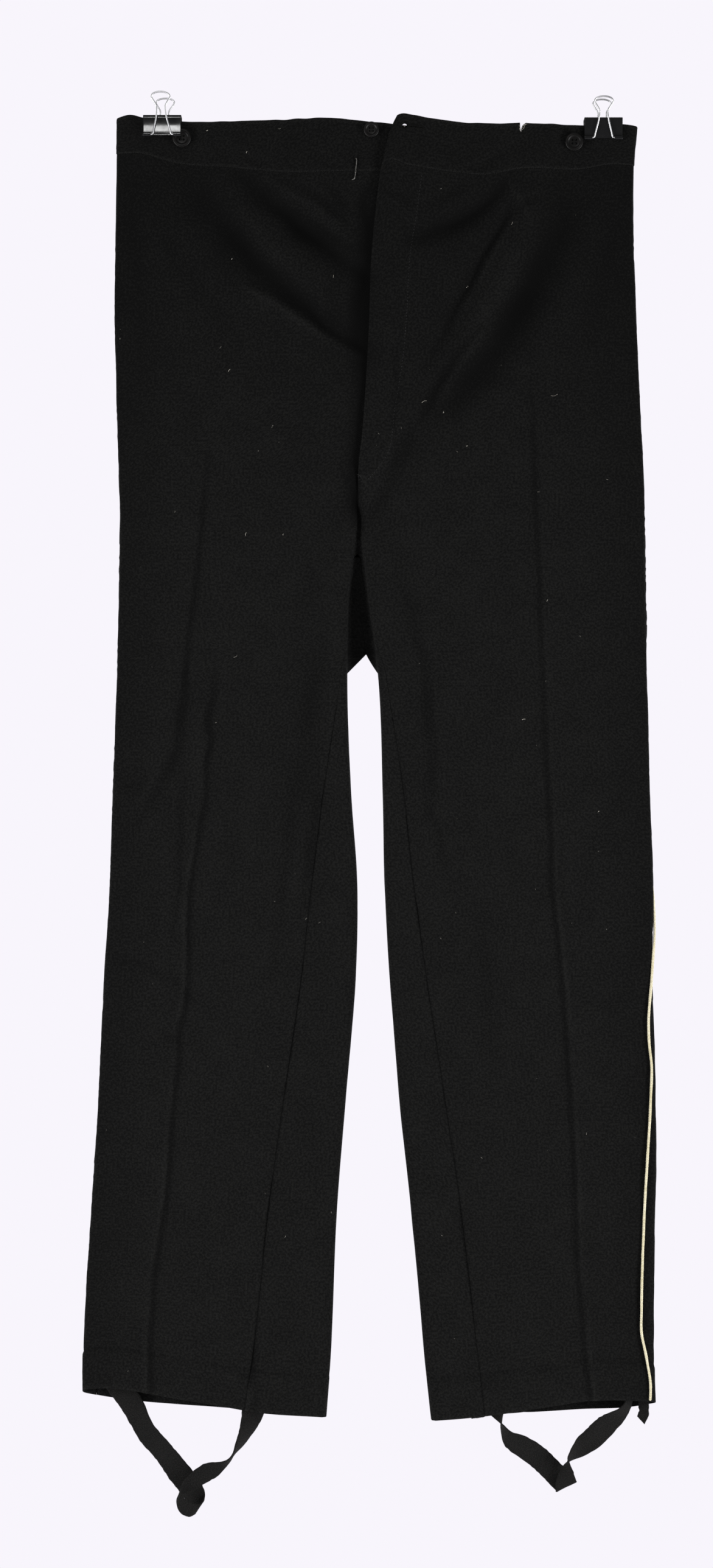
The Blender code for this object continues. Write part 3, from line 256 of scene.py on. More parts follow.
leftLeg = [
    (0, 213.7, -19.8, -12, 116, 104, -13, 10.8),
    (-35, 211.4, -19.8, -12, 117, 104, -13, 10.8),
    (-160, 212.7, -19.8, -12, 127, 104, -13, 10.8),
    (-260, 217.3, -19.8, -12, 131, 104, -13, 10.8),
    (-322, 219.8, -19.7, -12, 133, 104, -12, 10.8),
    (-400, 221.2, -11.9, -8, 135.4, 104, -11, 10.8),
    (-470, 222.5, -3.2, 3.4, 138.6, 103, -10, 10.6),
    (-570, 224.9, 0.6, 18.5, 143.5, 102, -8, 6.6),
    (-640, 227.4, 2.1, 26, 146.8, 102, -4.2, 5.2),
    (-720, 226.5, 6.2, 37, 153.2, 105, 3.6, 4.7),
    (-775, 228.1, 10.6, 45.2, 157.3, 107.7, 7.2, 4.65),
    (-797, 228.8, 12.4, 48.6, 158.9, 108.9, 5.9, 4.6),
    (-820, 229.5, 14.2, 52, 160.6, 110, 7, 4.6),
    (-920, 229, 24.8, 66.8, 165.8, 114, 12, 4.6),
    (-1000, 227.8, 32.9, 76.8, 171, 117.2, 13.2, 5.1),
    (-1022, 227.7, 34.9, 79.2, 172.3, 117.9, 13.2, 5.35),
    (-1040, 227.7, 36.8, 81.6, 173.6, 118.5, 9.5, 5.6),
    (-1058, 228, 39, 83.7, 175.4, 119, 6.6, 5.8),
    (-1100, 229, 44, 88, 179.5, 120, 8, 6.4),
]
legs = {"right": rightLeg, "left": leftLeg}
# The front crease of the right leg runs off at the knee and starts again nearer the middle.
rightCrease = [
    (0, -132), (-60, -134), (-160, -139), (-260, -147), (-322, -152.5), (-400, -161.5), (-432, -165.5),
    (-472, -168.5), (-488, -168.5), (-504, -150.5), (-542, -150.3), (-572, -151.5), (-593, -156), (-623, -160.2),
    (-650, -163.4), (-683, -166), (-712, -166.2), (-747, -170), (-770, -174.6), (-792, -174.4), (-812, -177),
    (-844, -179.8), (-876, -182.6), (-908, -184.8), (-941, -188.4), (-973, -192.4), (-1005, -195.6), (-1037, -197.6),
    (-1100, -198),
]

bodyColumns = ("z", "front", "back", "centreBack")
body = [
    (0, 9, 8, -4), (-44, 10.5, 10, -4), (-110, 12.5, 12.5, -4.6), (-200, 13, 13.5, -6.5), (-322, 11.5, 12.5, -9.5),
    (-400, 11, 11.6, -11.6), (-470, 10.6, 10.8, -13.4), (-570, 10, 10, -13.4), (-720, 9.5, 9.5, -13.4),
    (-900, 9.5, 9, -13.4), (-1025, 10.5, 9.5, -13.4), (-1100, 12, 10.5, -13.4),
]

forkColumns = ("z", "centre", "saddle")
fork = [
    (-322, -19.9, -11.5), (-350, -20.4, -7), (-376, -20.9, -3), (-402, -19.2, 0.5), (-432, -15.8, 3.2),
    (-451, -13.3, 4),
]

flyColumns = ("z", "edge")
fly = [
    (2, 14.4), (-3, 10.2), (-11, 6.9), (-33, 2.5), (-51, -2), (-75, -5.1), (-107, -8.2), (-190, -11.7), (-265, -16.6),
    (-301, -20.2), (-322, -19.9),
]

# Heights of the waistband's top and seam, and of the hems, at places across the garment.
bandTop = {
    "right": [(-222, -1), (-214, 1.6), (-200, -1), (-168, -3.6), (-100, -4), (-38, -2), (0, -6), (20, -8)],
    "left": [(8, -3.2), (14, 0.5), (26, 0.2), (41, -2.6), (97, -6.6), (122, -6), (168, -7), (200, -6.2), (214, -8)]}
bandSeam = {
    "right": [(-222, -31), (-206, -30.4), (-172, -39), (-129, -43), (-88, -47), (-28, -46.4), (0, -46), (30, -42)],
    "left": [(-4, -46), (3, -39), (23, -42), (60, -47.4), (86, -49.4), (116, -44.4), (172, -43.4), (190, -40),
        (212, -40.8)]}
backTop = [(-222, -1), (-200, -2), (-168, -4), (-118, -13), (-50, -16), (0, -16.4), (50, -16), (118, -13.4),
    (168, -7.4), (200, -6.4), (214, -8)]
backSeam = [(-222, -31), (-172, -42), (-118, -54), (-50, -58), (0, -58.5), (50, -58), (118, -55), (172, -46),
    (212, -40.8)]
hemFront = {
    "right": [(-252, -1068.2), (-230, -1066.8), (-204, -1068.8), (-173, -1074.6), (-140, -1080), (-100, -1086.8),
        (-48, -1091.4)],
    "left": [(43, -1094), (62, -1092.4), (87, -1089.4), (148, -1080), (173, -1076.2), (200, -1076.6), (229, -1078.6)]}
hemBack = {
    "right": [(-252, -1071.5), (-236, -1074.5), (-202, -1080), (-173, -1082.5), (-145, -1084.5), (-100, -1088),
        (-48, -1091.6)],
    "left": [(43, -1094.2), (87, -1091.5), (123, -1089.6), (166, -1086.8), (208, -1084.2), (229, -1080.6)]}

# Folds and creases of each face, along a bend through three places: x and z of each, height, width.
# A trough has a height below nought.
folds = {"front": [
    (-123, -46, -73, -85, -14, -137, -3.6, 12.5), (-166, -40, -112, -115, -18, -198, -3.9, 17),
    (-136, -72, -82, -120, -38, -164, 2.4, 12), (-119, -152, -76, -171, -30, -201, 1.6, 10),
    (104, -48, 75, -78, 24, -104, -3, 10), (112, -74, 80, -124, 46, -204, -1.8, 9),
    (156, -60, 124, -152, 54, -243, -4.4, 16), (120, -96, 95, -150, 64, -206, 2.2, 12),
    (-176, -500, -188, -542, -200, -590, 1.8, 11),
], "back": [
    (-130, -70, -85, -150, -30, -215, -3.4, 18), (-95, -60, -50, -110, -12, -140, -2.6, 15),
    (128, -72, 84, -145, 30, -220, -3.4, 18), (90, -60, 48, -112, 10, -150, -2.6, 14),
    (-60, -400, -110, -430, -170, -440, -2.4, 16), (40, -395, 100, -428, 165, -432, -2.4, 16),
]}
creases = {"front": [
    # drag lines from the wearer's right hip to the fly
    (-121, -47, -72, -86, -14, -136, -1.5, 6.5), (-160, -46, -110, -118, -20, -196, -1.2, 8),
    (-114, -145, -80, -165, -18, -204, 1.7, 3.4), (-66, -162, -48, -178, -20, -196, -1.2, 4),
    (-100, -48, -64, -68, -26, -94, 0.9, 3.4), (-90, -60, -56, -82, -30, -100, 0.8, 2.8),
    (-80, -50, -50, -70, -22, -98, -0.8, 3), (-62, -84, -44, -96, -26, -112, -0.7, 3),
    (-54, -52, -40, -62, -26, -80, -0.6, 3), (-34, -60, -36, -70, -30, -84, -0.7, 3.4),
    (-12, -56, -15, -80, -16, -110, -1.8, 5), (-16, -110, -19, -160, -20, -206, -2.2, 7),
    (-34, -120, -42, -150, -34, -180, -0.6, 6), (-186, -60, -170, -120, -120, -185, -0.5, 9),
    (-206, -60, -207, -120, -200, -180, -0.6, 7), (-30, -215, -60, -245, -70, -300, -0.4, 9),
    (-82, -226, -93, -237, -104, -249, 0.5, 3.2),
    # drag lines from the wearer's left hip
    (104, -48, 76, -77, 26, -104, -1.3, 4.4), (112, -72, 81, -122, 38, -214, -1.7, 2.3),
    (118, -78, 89, -121, 60, -178, 1, 2.4), (102, -48, 112, -62, 126, -86, 0.8, 3.4),
    (113, -80, 120, -73, 134, -70, -1.1, 3), (80, -174, 59, -208, 32, -254, -2.1, 3.8),
    (88, -176, 68, -206, 46, -240, 0.7, 3), (154, -76, 120, -150, 56, -240, -1.4, 8),
    (6, -70, 16, -73, 28, -80, -0.6, 3.6), (70, -54, 52, -66, 30, -80, -0.6, 4),
    (194, -60, 188, -130, 160, -215, -0.5, 9),
    # the waistband's own dents
    (120, -14, 100, -26, 74, -40, -1.2, 5), (98, -18, 84, -30, 62, -38, 0.6, 4),
    (-124, -26, -112, -34, -98, -38, -0.9, 4), (-60, -14, -50, -30, -30, -42, -0.5, 5),
    # the foot of the fly
    (14, -258, 3, -288, -17, -308, 1, 3), (24, -256, 9, -302, -15, -342, -1.4, 6.5),
    (0, -306, -6, -316, -12, -326, 0.6, 2.4), (-19.6, -300, -19.2, -324, -19, -350, -2.6, 2.8),
    (14.5, -184, 12, -230, 9.5, -278, -0.9, 2),
    # from the fork into each leg
    (-34, -330, -62, -392, -70, -470, -0.4, 9), (-46, -560, -56, -600, -62, -660, -0.9, 6),
    (-8, -332, 20, -388, 30, -440, -0.4, 9), (18, -400, 38, -480, 39, -584, -1.3, 5),
    (36, -572, 44, -596, 51, -626, -0.8, 4), (-52, -436, -60, -520, -64, -624, -1, 9),
    (78, -640, 84, -700, 90, -780, -0.5, 8),
    # knees and shins
    (-138.5, -464, -144.5, -502, -147, -540, -1.5, 3.2), (-166, -462, -173, -528, -206, -594, -1.9, 5),
    (-168.5, -560, -169.8, -622, -174, -690, -0.9, 2.4), (-150, -500, -156, -528, -158, -556, 0.8, 3.6),
    (-196, -550, -204, -560, -216, -562, -0.6, 4), (-224, -708, -200, -713, -172, -724, -1, 3.6),
    (-172, -722, -164, -730, -158, -742, -0.8, 3.4), (-186, -762, -178, -770, -168, -776, -0.8, 3.4),
    (-104, -540, -112, -590, -112, -650, 0.4, 7), (-72, -540, -80, -620, -92, -720, -0.7, 5),
    (-60, -520, -66, -600, -78, -700, 0.5, 5), (100, -610, 128, -650, 172, -664, -0.3, 9),
    (160, -730, 178, -742, 200, -736, -0.4, 6), (140, -548, 170, -556, 204, -548, -0.4, 6),
    # dimples where the hems are caught
    (-122, -1050, -112, -1052.5, -101, -1050, -1.3, 2.6), (71, -1057, 82, -1054, 96, -1052, -1.3, 2.6),
], "back": [
    # the seat and the backs of the legs
    (-134, -66, -92, -140, -34, -210, -1.4, 6), (-96, -62, -56, -108, -14, -142, -1.3, 5),
    (-120, -80, -72, -150, -24, -190, 1, 8), (132, -70, 88, -140, 32, -216, -1.4, 6),
    (92, -62, 52, -108, 12, -150, -1.3, 5), (118, -84, 70, -150, 26, -196, 1, 8),
    (-62, -398, -112, -428, -172, -438, -1.2, 6), (42, -394, 102, -426, 166, -430, -1.2, 6),
    (-54, -430, -100, -470, -150, -486, -0.9, 8), (32, -426, 84, -466, 140, -478, -0.9, 8),
    (-60, -650, -110, -664, -170, -652, -1.1, 8), (-70, -690, -120, -700, -184, -694, -0.9, 7),
    (50, -646, 104, -662, 170, -654, -1.1, 8), (60, -688, 116, -700, 180, -690, -0.9, 7),
    (-128, -780, -140, -880, -146, -980, -0.7, 11), (128, -780, 140, -880, 150, -980, -0.7, 11),
    (-8, -130, -10, -210, -12, -300, -0.8, 7),
]}


def curveThrough(points, values, where):
    # A smooth curve through the values, with the points in rising order.
    points = np.asarray(points, float)
    values = np.asarray(values, float)
    slopes = np.gradient(values, points)
    spot = np.clip(np.searchsorted(points, where) - 1, 0, len(points) - 2)
    step = points[spot + 1] - points[spot]
    t = np.clip((where - points[spot]) / step, 0, 1)
    rise = values[spot] * (1 + 2 * t) * (1 - t) ** 2 + values[spot + 1] * t * t * (3 - 2 * t)
    return rise + step * t * (1 - t) * (slopes[spot] * (1 - t) - slopes[spot + 1] * t)


def readColumn(table, columns, name, z):
    rows = np.array(table, float)[::-1]
    return curveThrough(rows[:, 0], rows[:, columns.index(name)], z)


def lineHeight(line, x):
    rows = np.array(line, float)
    return curveThrough(rows[:, 0], rows[:, 1], x)


def ease(t):
    t = np.clip(t, 0, 1)
    return t * t * (3 - 2 * t)


def softNoise(u, v, size, seed):
    # Smooth random heights between -1 and 1 over a lattice of one size.
    table = np.random.default_rng(seed).uniform(-1, 1, (97, 97))
    u = np.asarray(u) / size
    v = np.asarray(v) / size
    iu = np.floor(u).astype(int)
    iv = np.floor(v).astype(int)
    fu = ease(u - iu)
    fv = ease(v - iv)
    corner = [table[(iu + a) % 97, (iv + b) % 97] for a, b in ((0, 0), (1, 0), (0, 1), (1, 1))]
    return (corner[0] * (1 - fu) + corner[1] * fu) * (1 - fv) + (corner[2] * (1 - fu) + corner[3] * fu) * fv


def lineNoise(along, row, size, seed):
    # The same along one row of the lattice.
    return softNoise(along, along * 0 + row, size, seed)


def lowerLeg(z):
    # 0 above the knees, rising to 1 on the shins.
    return ease((-420.0 - z) / 260.0)


def clipPinch(x, z):
    # 1 between the jaws of a clip, fading round them and below.
    fade = 1 - ease((cloth["pinchFrom"] - z) / cloth["pinchFall"])
    near = np.minimum(np.abs(x - clipPlaces["right"]), np.abs(x - clipPlaces["left"]))
    return fade * (1 - ease((near - cloth["pinchHalf"]) / cloth["pinchFade"]))


def addArc(path, heading, radius, turn, steps):
    x, y = path[-1]
    sign = 1 if turn > 0 else -1
    centreX = x - sign * radius * math.sin(heading)
    centreY = y + sign * radius * math.cos(heading)
    for i in range(1, steps + 1):
        now = heading + turn * i / steps
        path.append((centreX + sign * radius * math.sin(now), centreY - sign * radius * math.cos(now)))
    return heading + turn


def addRun(path, heading, length):
    if length > 1e-6:
        x, y = path[-1]
        path.append((x + length * math.cos(heading), y + length * math.sin(heading)))


def pathLength(path):
    points = np.array(path)
    return float(np.hypot(*np.diff(points, axis=0).T).sum()) if len(points) > 1 else 0.0


class Outline:
    # The outline of one half of the garment at a height, from the middle of the front (or the
    # inner edge of the leg) round the outer fold to the middle of the back.
    def __init__(self, side, z):
        self.side = side
        self.z = z
        self.sign = -1 if side == "right" else 1
        sign = self.sign
        front = float(readColumn(body, bodyColumns, "front", z))
        back = float(readColumn(body, bodyColumns, "back", z))
        outer = sign * self.leg("outer") + cloth["spread"]
        inner = sign * self.leg("inner")
        inside = self.leg("inside")
        centreBack = float(readColumn(body, bodyColumns, "centreBack", z))
        archTop, archFoot = cloth["archTop"], cloth["archFoot"]
        path = []
        closed = z <= archTop + 1e-6
        if z > cloth["crotchTop"]:
            faceFrom = sign * self.frontStart()
            path.append((faceFrom, -front))
            frontIn = front
            backIn = back
        else:
            blend = ease((inside - 5.0) / 5.0)
            frontIn = inside + (front - inside) * blend
            backIn = inside + (back - inside) * blend
            convex = min(cloth["innerRadius"], inside - 0.05)
            faceFrom = inner + convex
            if not closed:
                centre = sign * float(readColumn(fork, forkColumns, "centre", z))
                depth = max(float(readColumn(fork, forkColumns, "saddle", z)) + frontIn, 0.05)
                concave = min(cloth["grooveRadius"], max(inner - centre, 0.4))
                both = concave + convex
                turn = math.pi / 2 if depth >= both else math.acos(1 - depth / both)
                path.append((centre, depth - frontIn))
                addRun(path, 0.0, faceFrom - both * math.sin(turn) - centre)
                addArc(path, 0.0, concave, -turn, 8)
                addRun(path, -turn, max(depth - both, 0))
                addArc(path, -turn, convex, turn, 8)
            else:
                tail = cloth["tailRadius"]
                tail += (min(cloth["innerRadius"], inside - 0.05) - tail) * ease((archTop - z) / 90.0)
                centre = sign * float(readColumn(fork, forkColumns, "centre", archTop))
                tip = centre + (inner - centre) * min((archTop - z) / (archTop - archFoot), 1)
                room = max(inner - tip, 0)
                concave = cloth["grooveRadius"]
                both = concave + tail
                turn = math.pi / 2 if room >= both else math.acos(1 - room / both)
                path.append((tip, backIn - tail))
                heading = addArc(path, -math.pi / 2, tail, turn, 8) if turn > 1e-4 else -math.pi / 2
                addRun(path, heading, max(room - both, 0))
                if turn > 1e-4:
                    heading = addArc(path, heading, concave, -turn, 8)
                addRun(path, heading, path[-1][1] + frontIn - convex)
                addArc(path, -math.pi / 2, convex, math.pi / 2, 10)
        self.innerEnd = pathLength(path)
        capX = outer - cloth["capRadius"]
        xs = np.linspace(faceFrom, capX, cloth["faceSteps"])[1:]
        path += list(zip(xs, -self.depth(xs, faceFrom, capX, front, frontIn)))
        self.capStart = pathLength(path)
        addArc(path, 0.0, cloth["capRadius"], math.pi, 20)
        self.capEnd = pathLength(path)
        if closed:
            faceTo = tip + tail
        elif z > cloth["crotchTop"]:
            faceTo = sign * centreBack
        else:
            way = float(ease((cloth["crotchTop"] - z) / (cloth["crotchTop"] - archTop)))
            faceTo = sign * (centreBack * (1 - way) + float(readColumn(fork, forkColumns, "centre", z)) * way)
        xs = np.linspace(capX, faceTo, cloth["faceSteps"])[1:]
        path += list(zip(xs, self.depth(xs, faceTo, capX, back, backIn)))
        self.backEnd = pathLength(path)
        if closed:
            addArc(path, math.pi, tail, math.pi / 2, 8)
        self.path = np.array(path)
        self.along = np.concatenate([[0], np.cumsum(np.hypot(*np.diff(self.path, axis=0).T))])
        self.total = float(self.along[-1])
        self.closed = closed

    def leg(self, name):
        return float(readColumn(legs[self.side], legColumns, name, self.z))

    def frontStart(self):
        edge = float(readColumn(fly, flyColumns, "edge", self.z))
        if self.side == "left":
            return edge + cloth["seamGap"] / 2
        under = cloth["flyUnder"] * float(ease((self.z - cloth["flySeamTop"]) / 60.0))
        return edge - cloth["seamGap"] / 2 + under

    def depth(self, xs, innerX, capX, full, atInner):
        outerPart = 1 - ease((capX - xs) / cloth["capReach"])
        innerPart = (1 - ease((xs - innerX) / cloth["innerReach"])) * (self.z <= cloth["crotchTop"])
        depth = full + (cloth["capRadius"] - full) * outerPart + (atInner - full) * innerPart
        pinch = clipPinch(self.sign * xs, self.z)
        return depth + (cloth["jawDepth"] - depth) * pinch

    def point(self, lengths):
        # Places along the outline, with the way out from the cloth at each.
        x = np.interp(lengths, self.along, self.path[:, 0])
        y = np.interp(lengths, self.along, self.path[:, 1])
        before = np.maximum(np.asarray(lengths) - 0.7, 0)
        after = np.minimum(np.asarray(lengths) + 0.7, self.total)
        tx = np.interp(after, self.along, self.path[:, 0]) - np.interp(before, self.along, self.path[:, 0])
        ty = np.interp(after, self.along, self.path[:, 1]) - np.interp(before, self.along, self.path[:, 1])
        size = np.hypot(tx, ty)
        return self.sign * x, y, self.sign * ty / size, -tx / size

    def atFront(self, x):
        inside = (self.along >= self.innerEnd - 1e-6) & (self.along <= self.capStart + 1e-6)
        return float(np.interp(self.sign * x, self.path[inside, 0], self.along[inside]))

    def atBack(self, x):
        inside = (self.along >= self.capEnd - 1e-6) & (self.along <= self.backEnd + 1e-6)
        return float(np.interp(-self.sign * x, -self.path[inside, 0], self.along[inside]))

    def sideSeam(self):
        return (self.capStart + self.capEnd) / 2 - self.leg("sideSeam")

    def inseam(self):
        # Along the front face of the leg; higher up it climbs into the gap to the fork point.
        if self.z > cloth["forkPoint"]:
            return 0.0
        way = float(ease((cloth["forkPoint"] - self.z) / (cloth["forkPoint"] + 470.0)))
        start = cloth["inseamStart"]
        return start + (self.atFront(self.leg("inseam")) - start) * way


outlines = {}


def outlineAt(side, z):
    key = (side, round(float(z), 4))
    if key not in outlines:
        outlines[key] = Outline(side, float(z))
    return outlines[key]


def foldHeight(face, x, z, table):
    # How far the folds of a table lift the cloth of one face.
    height = np.zeros_like(x)
    t = np.linspace(0, 1, 25)
    first = 0 if face == "front" else len(table["front"])
    for number, (startX, startZ, overX, overZ, endX, endZ, lift, width) in enumerate(table[face], first):
        middleX = 2 * overX - (startX + endX) / 2
        middleZ = 2 * overZ - (startZ + endZ) / 2
        foldX = (1 - t) ** 2 * startX + 2 * t * (1 - t) * middleX + t * t * endX
        foldZ = (1 - t) ** 2 * startZ + 2 * t * (1 - t) * middleZ + t * t * endZ
        reach = width * 2.6
        near = ((x > foldX.min() - reach) & (x < foldX.max() + reach) &
                (z > foldZ.min() - reach) & (z < foldZ.max() + reach))
        if not near.any():
            continue
        px, pz = x[near], z[near]
        px = px + cloth["foldWaver"] * softNoise(px + 31 * number, pz, 23.0, 7)
        pz = pz + cloth["foldWaver"] * softNoise(px, pz + 17 * number, 23.0, 8)
        # the nearest place on the bend, between its points too
        best = np.full(px.shape, 1e9)
        bestT = np.zeros(px.shape)
        for i in range(24):
            dx, dz = foldX[i + 1] - foldX[i], foldZ[i + 1] - foldZ[i]
            share = np.clip(((px - foldX[i]) * dx + (pz - foldZ[i]) * dz) / (dx * dx + dz * dz), 0, 1)
            away = np.hypot(px - foldX[i] - share * dx, pz - foldZ[i] - share * dz)
            closer = away < best
            best = np.where(closer, away, best)
            bestT = np.where(closer, (i + share) / 24, bestT)
        taper = np.sin(math.pi * np.clip(bestT * 0.84 + 0.08, 0, 1)) ** 0.7
        change = 1.0 + 0.35 * softNoise(px + 53 * number, pz, 31.0, 9)
        height[near] += lift * taper * change * np.exp(-(best / width) ** 2)
    return height


def creasePath(side, face, z):
    # Where a leg's pressed crease runs, and how much of it is left there.
    waver = 1.2 * lineNoise(z, 40.5, 60.0, 15) + 0.7 * lineNoise(z, 9.5, 21.0, 16)
    if side == "right" and face == "front":
        ridge = readColumn(rightCrease, ("z", "crease"), "crease", z)
        return ridge + waver, 1.0 - np.exp(-((z - cloth["creaseBreak"]) / cloth["breakHalf"]) ** 4)
    ridge = readColumn(legs[side], legColumns, "crease" if face == "front" else "backCrease", z)
    return ridge + waver, 1.0


def pressedCreases(face, x, z):
    # The pressed crease of each leg: a sharp ridge that wavers and fades.
    height = np.zeros_like(x)
    for side in legs:
        ridge, whole = creasePath(side, face, z)
        grow = 0.5 * ease((cloth["creaseStart"] - z) / 110.0) + 0.5 * lowerLeg(z)
        strength = 1.0 + 0.25 * lineNoise(z, 3.5, 75.0, 17)
        away = np.abs(x - ridge)
        height += cloth["creaseHeight"] * grow * whole * strength * (
            0.50 * np.exp(-(away / 9.0) ** 1.5) + 0.6 * np.exp(-(away / 2.4) ** 1.3))
    return height


def settle(x, y, z, nx, ny, side):
    # Puts the folds in and shifts the heights so that the hems and the waist keep their lines.
    facing = ease((y + 4.0) / 8.0)
    raised = np.zeros_like(x)
    for face, share in (("front", 1 - ease((ny + 0.95) / 0.6)), ("back", ease((ny - 0.35) / 0.6))):
        height = (foldHeight(face, x, z, folds) + pressedCreases(face, x, z)) * ease((-20.0 - z) / 60.0)
        height += foldHeight(face, x, z, creases) * ease((-10.0 - z) / 30.0)
        raised += height * share
    raised *= 1 - clipPinch(x, z)
    x = x + nx * raised
    y = y + ny * raised
    if side == "left":
        edge = readColumn(fly, flyColumns, "edge", z)
        lift = cloth["lapLift"] + cloth["lapBulge"] * (1 - ease((-40.0 - z) / 60.0))
        lift *= 1 - ease((cloth["flySeamTop"] - z) / 26.0)
        y = y - lift * (1 - ease((x - edge - cloth["lapFlat"]) / cloth["lapFall"])) * (ny < -0.3)
    lines = ((bandTop[side], backTop), (bandSeam[side], backSeam), (hemFront[side], hemBack[side]))
    top, seam, hem = (lineHeight(a, x) * (1 - facing) + lineHeight(b, x) * facing for a, b in lines)
    bandHeight = cloth["bandHeight"]
    inBand = ease((z + bandHeight) / bandHeight)
    atSeam = 1 - ease((-bandHeight - z) / cloth["waistFall"])
    atHem = ease((cloth["hemRise"] - z) / (cloth["hemRise"] - cloth["hem"]))
    shift = np.where(z > -bandHeight, top * inBand + (seam + bandHeight) * (1 - inBand),
                     (seam + bandHeight) * atSeam + (hem - cloth["hem"]) * atHem)
    return x, y, z + shift


def spread(marks, counts):
    lengths = [marks[0]]
    for low, high, count in zip(marks, marks[1:], counts):
        lengths += list(np.linspace(low, high, count + 1)[1:])
    return lengths


edgeSteps = [0.0, 0.1, 0.3, 0.7, 1.5]


def fromEdge(start, way):
    return [start + way * step for step in edgeSteps]


def edgeDrop(away, radius):
    # How far the cloth rolls down towards an edge.
    t = np.clip(away / radius, 0, 1)
    return radius * (1 - np.sqrt(1 - (1 - t) ** 2))


def layGrid(side, heights, lengthRows, proud=0.0):
    # Outer points and ways out, for one row of lengths at each height.
    shape = (len(heights), len(lengthRows[0]))
    x, y, nx, ny = (np.zeros(shape) for _ in range(4))
    for i, z in enumerate(heights):
        x[i], y[i], nx[i], ny[i] = outlineAt(side, z).point(np.array(lengthRows[i]))
    z = np.repeat(np.array(heights, float)[:, None], shape[1], axis=1)
    flat = [a.ravel() for a in (x, y, z, nx, ny)]
    sx, sy, sz = settle(*flat, side)
    points = np.stack([sx + flat[3] * proud, sy + flat[4] * proud, sz], axis=1)
    return points.reshape(*shape, 3), np.stack([flat[3], flat[4], 0 * sx], axis=1).reshape(*shape, 3), z


def smallRelief(points, seed):
    # Soft unevenness of hung cloth, from wide swells to the size of a few threads.
    x, y, z = points[..., 0], points[..., 1], points[..., 2]
    turn = x + 400.0 * (y > 0)
    return (0.55 * softNoise(turn, z, 52.0, seed) + 0.26 * softNoise(turn + 11, z * 0.8, 19.0, seed + 1) +
            0.10 * softNoise(turn, z + 7, 6.5, seed + 2) + 0.04 * softNoise(turn + 3, z, 2.6, seed + 3))


def makeMesh(name, vertices, faces, uvs=None):
    mesh = bpy.data.meshes.new(name)
    mesh.from_pydata((np.asarray(vertices) * mm).tolist(), [], faces)
    if uvs is not None:
        layer = mesh.uv_layers.new(name="weave")
        corners = np.zeros(len(mesh.loops), dtype=np.int32)
        mesh.loops.foreach_get("vertex_index", corners)
        layer.data.foreach_set("uv", (np.asarray(uvs)[corners] * mm).ravel())
    mesh.shade_smooth()
    return mesh


def makeShell(name, points, ways, uvs, thick, drop, flip, wearAndShade=None, present=None, numbers=None):
    # A wall from a grid of outer points: outer sheet, inner sheet and the rim that joins them.
    rows, columns = points.shape[:2]
    if numbers is None:
        numbers = np.arange(rows * columns).reshape(rows, columns)
    if present is None:
        present = np.ones((rows - 1, columns - 1), bool)
    outer = points - ways * drop[..., None]
    inner = points - ways * (thick - drop)[..., None]
    flatOuter = outer.reshape(-1, 3)
    flatInner = inner.reshape(-1, 3)
    a, b = numbers[:-1, :-1][present], numbers[1:, :-1][present]
    c, d = numbers[1:, 1:][present], numbers[:-1, 1:][present]
    quads = np.stack([a, b, c, d], axis=1)
    if flip:
        quads = quads[:, ::-1]
    used, compact = np.unique(quads, return_inverse=True)
    quads = compact.reshape(quads.shape)
    count = len(used)
    vertices = np.concatenate([flatOuter[used], flatInner[used]])
    flatUv = uvs.reshape(-1, 2)[used]
    starts = quads.ravel()
    ends = np.roll(quads, -1, axis=1).ravel()
    codes = starts.astype(np.int64) * count + ends
    back = ends.astype(np.int64) * count + starts
    rim = ~np.isin(codes, back)
    s, e = starts[rim], ends[rim]
    faces = np.concatenate([quads, quads[:, ::-1] + count, np.stack([e, s, s + count, e + count], axis=1)])
    mesh = makeMesh(name, vertices, faces.tolist(), np.concatenate([flatUv, flatUv]))
    if wearAndShade is not None:
        layer = mesh.attributes.new("wearAndShade", "FLOAT", "POINT")
        layer.data.foreach_set("value", np.tile(wearAndShade.ravel()[used], 2).astype(np.float32))
    return newObject(name, mesh)


def finishPiece(thing, material, slotName, *nodes):
    thing.data.materials.clear()
    thing.data.materials.append(material)
    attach(thing, "root")
    if nodes:
        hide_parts(*nodes)


panelSetting = {
    "frontColumns": [1, 1, 1, 1, 7, 44, 5, 5, 24, 10, 3, 1, 1, 1, 1],
    "backColumns": [1, 1, 1, 1, 8, 24, 5, 5, 44, 6, 1, 1, 1, 1],
    "flapColumns": [1, 1, 1, 1, 5, 8, 1, 1, 1, 1], "rowStep": 3.0, "roll": 0.22,
    "hemTurn": 33.0, "hemStep": 0.7, "pucker": 0.13, "puckerReach": 7.0, "puckerStep": 6.0}
# Where each cut lies in the weave, in mm, and the seed of its unevenness.
weavePlaces = {
    "front_right": (0, 21), "front_left": (700, 41), "back_right": (1400, 61), "back_left": (2100, 81),
    "waistband_right": (2800, 101), "waistband_left": (3500, 121)}
# How strongly each place is lightened by wear and painted highlight, or darkened by painted shade.
wearAndShadeSetting = {
    "crease": 0.21, "fold": 0.09, "ridge": 0.30, "ridgeChange": 0.24, "besideRidge": 0.36, "sides": 0.20,
    "hemLine": 0.22, "hemEdge": 0.30, "seam": 0.10, "lowerSeam": 0.42, "lapShadow": 0.75, "waist": 0.20}


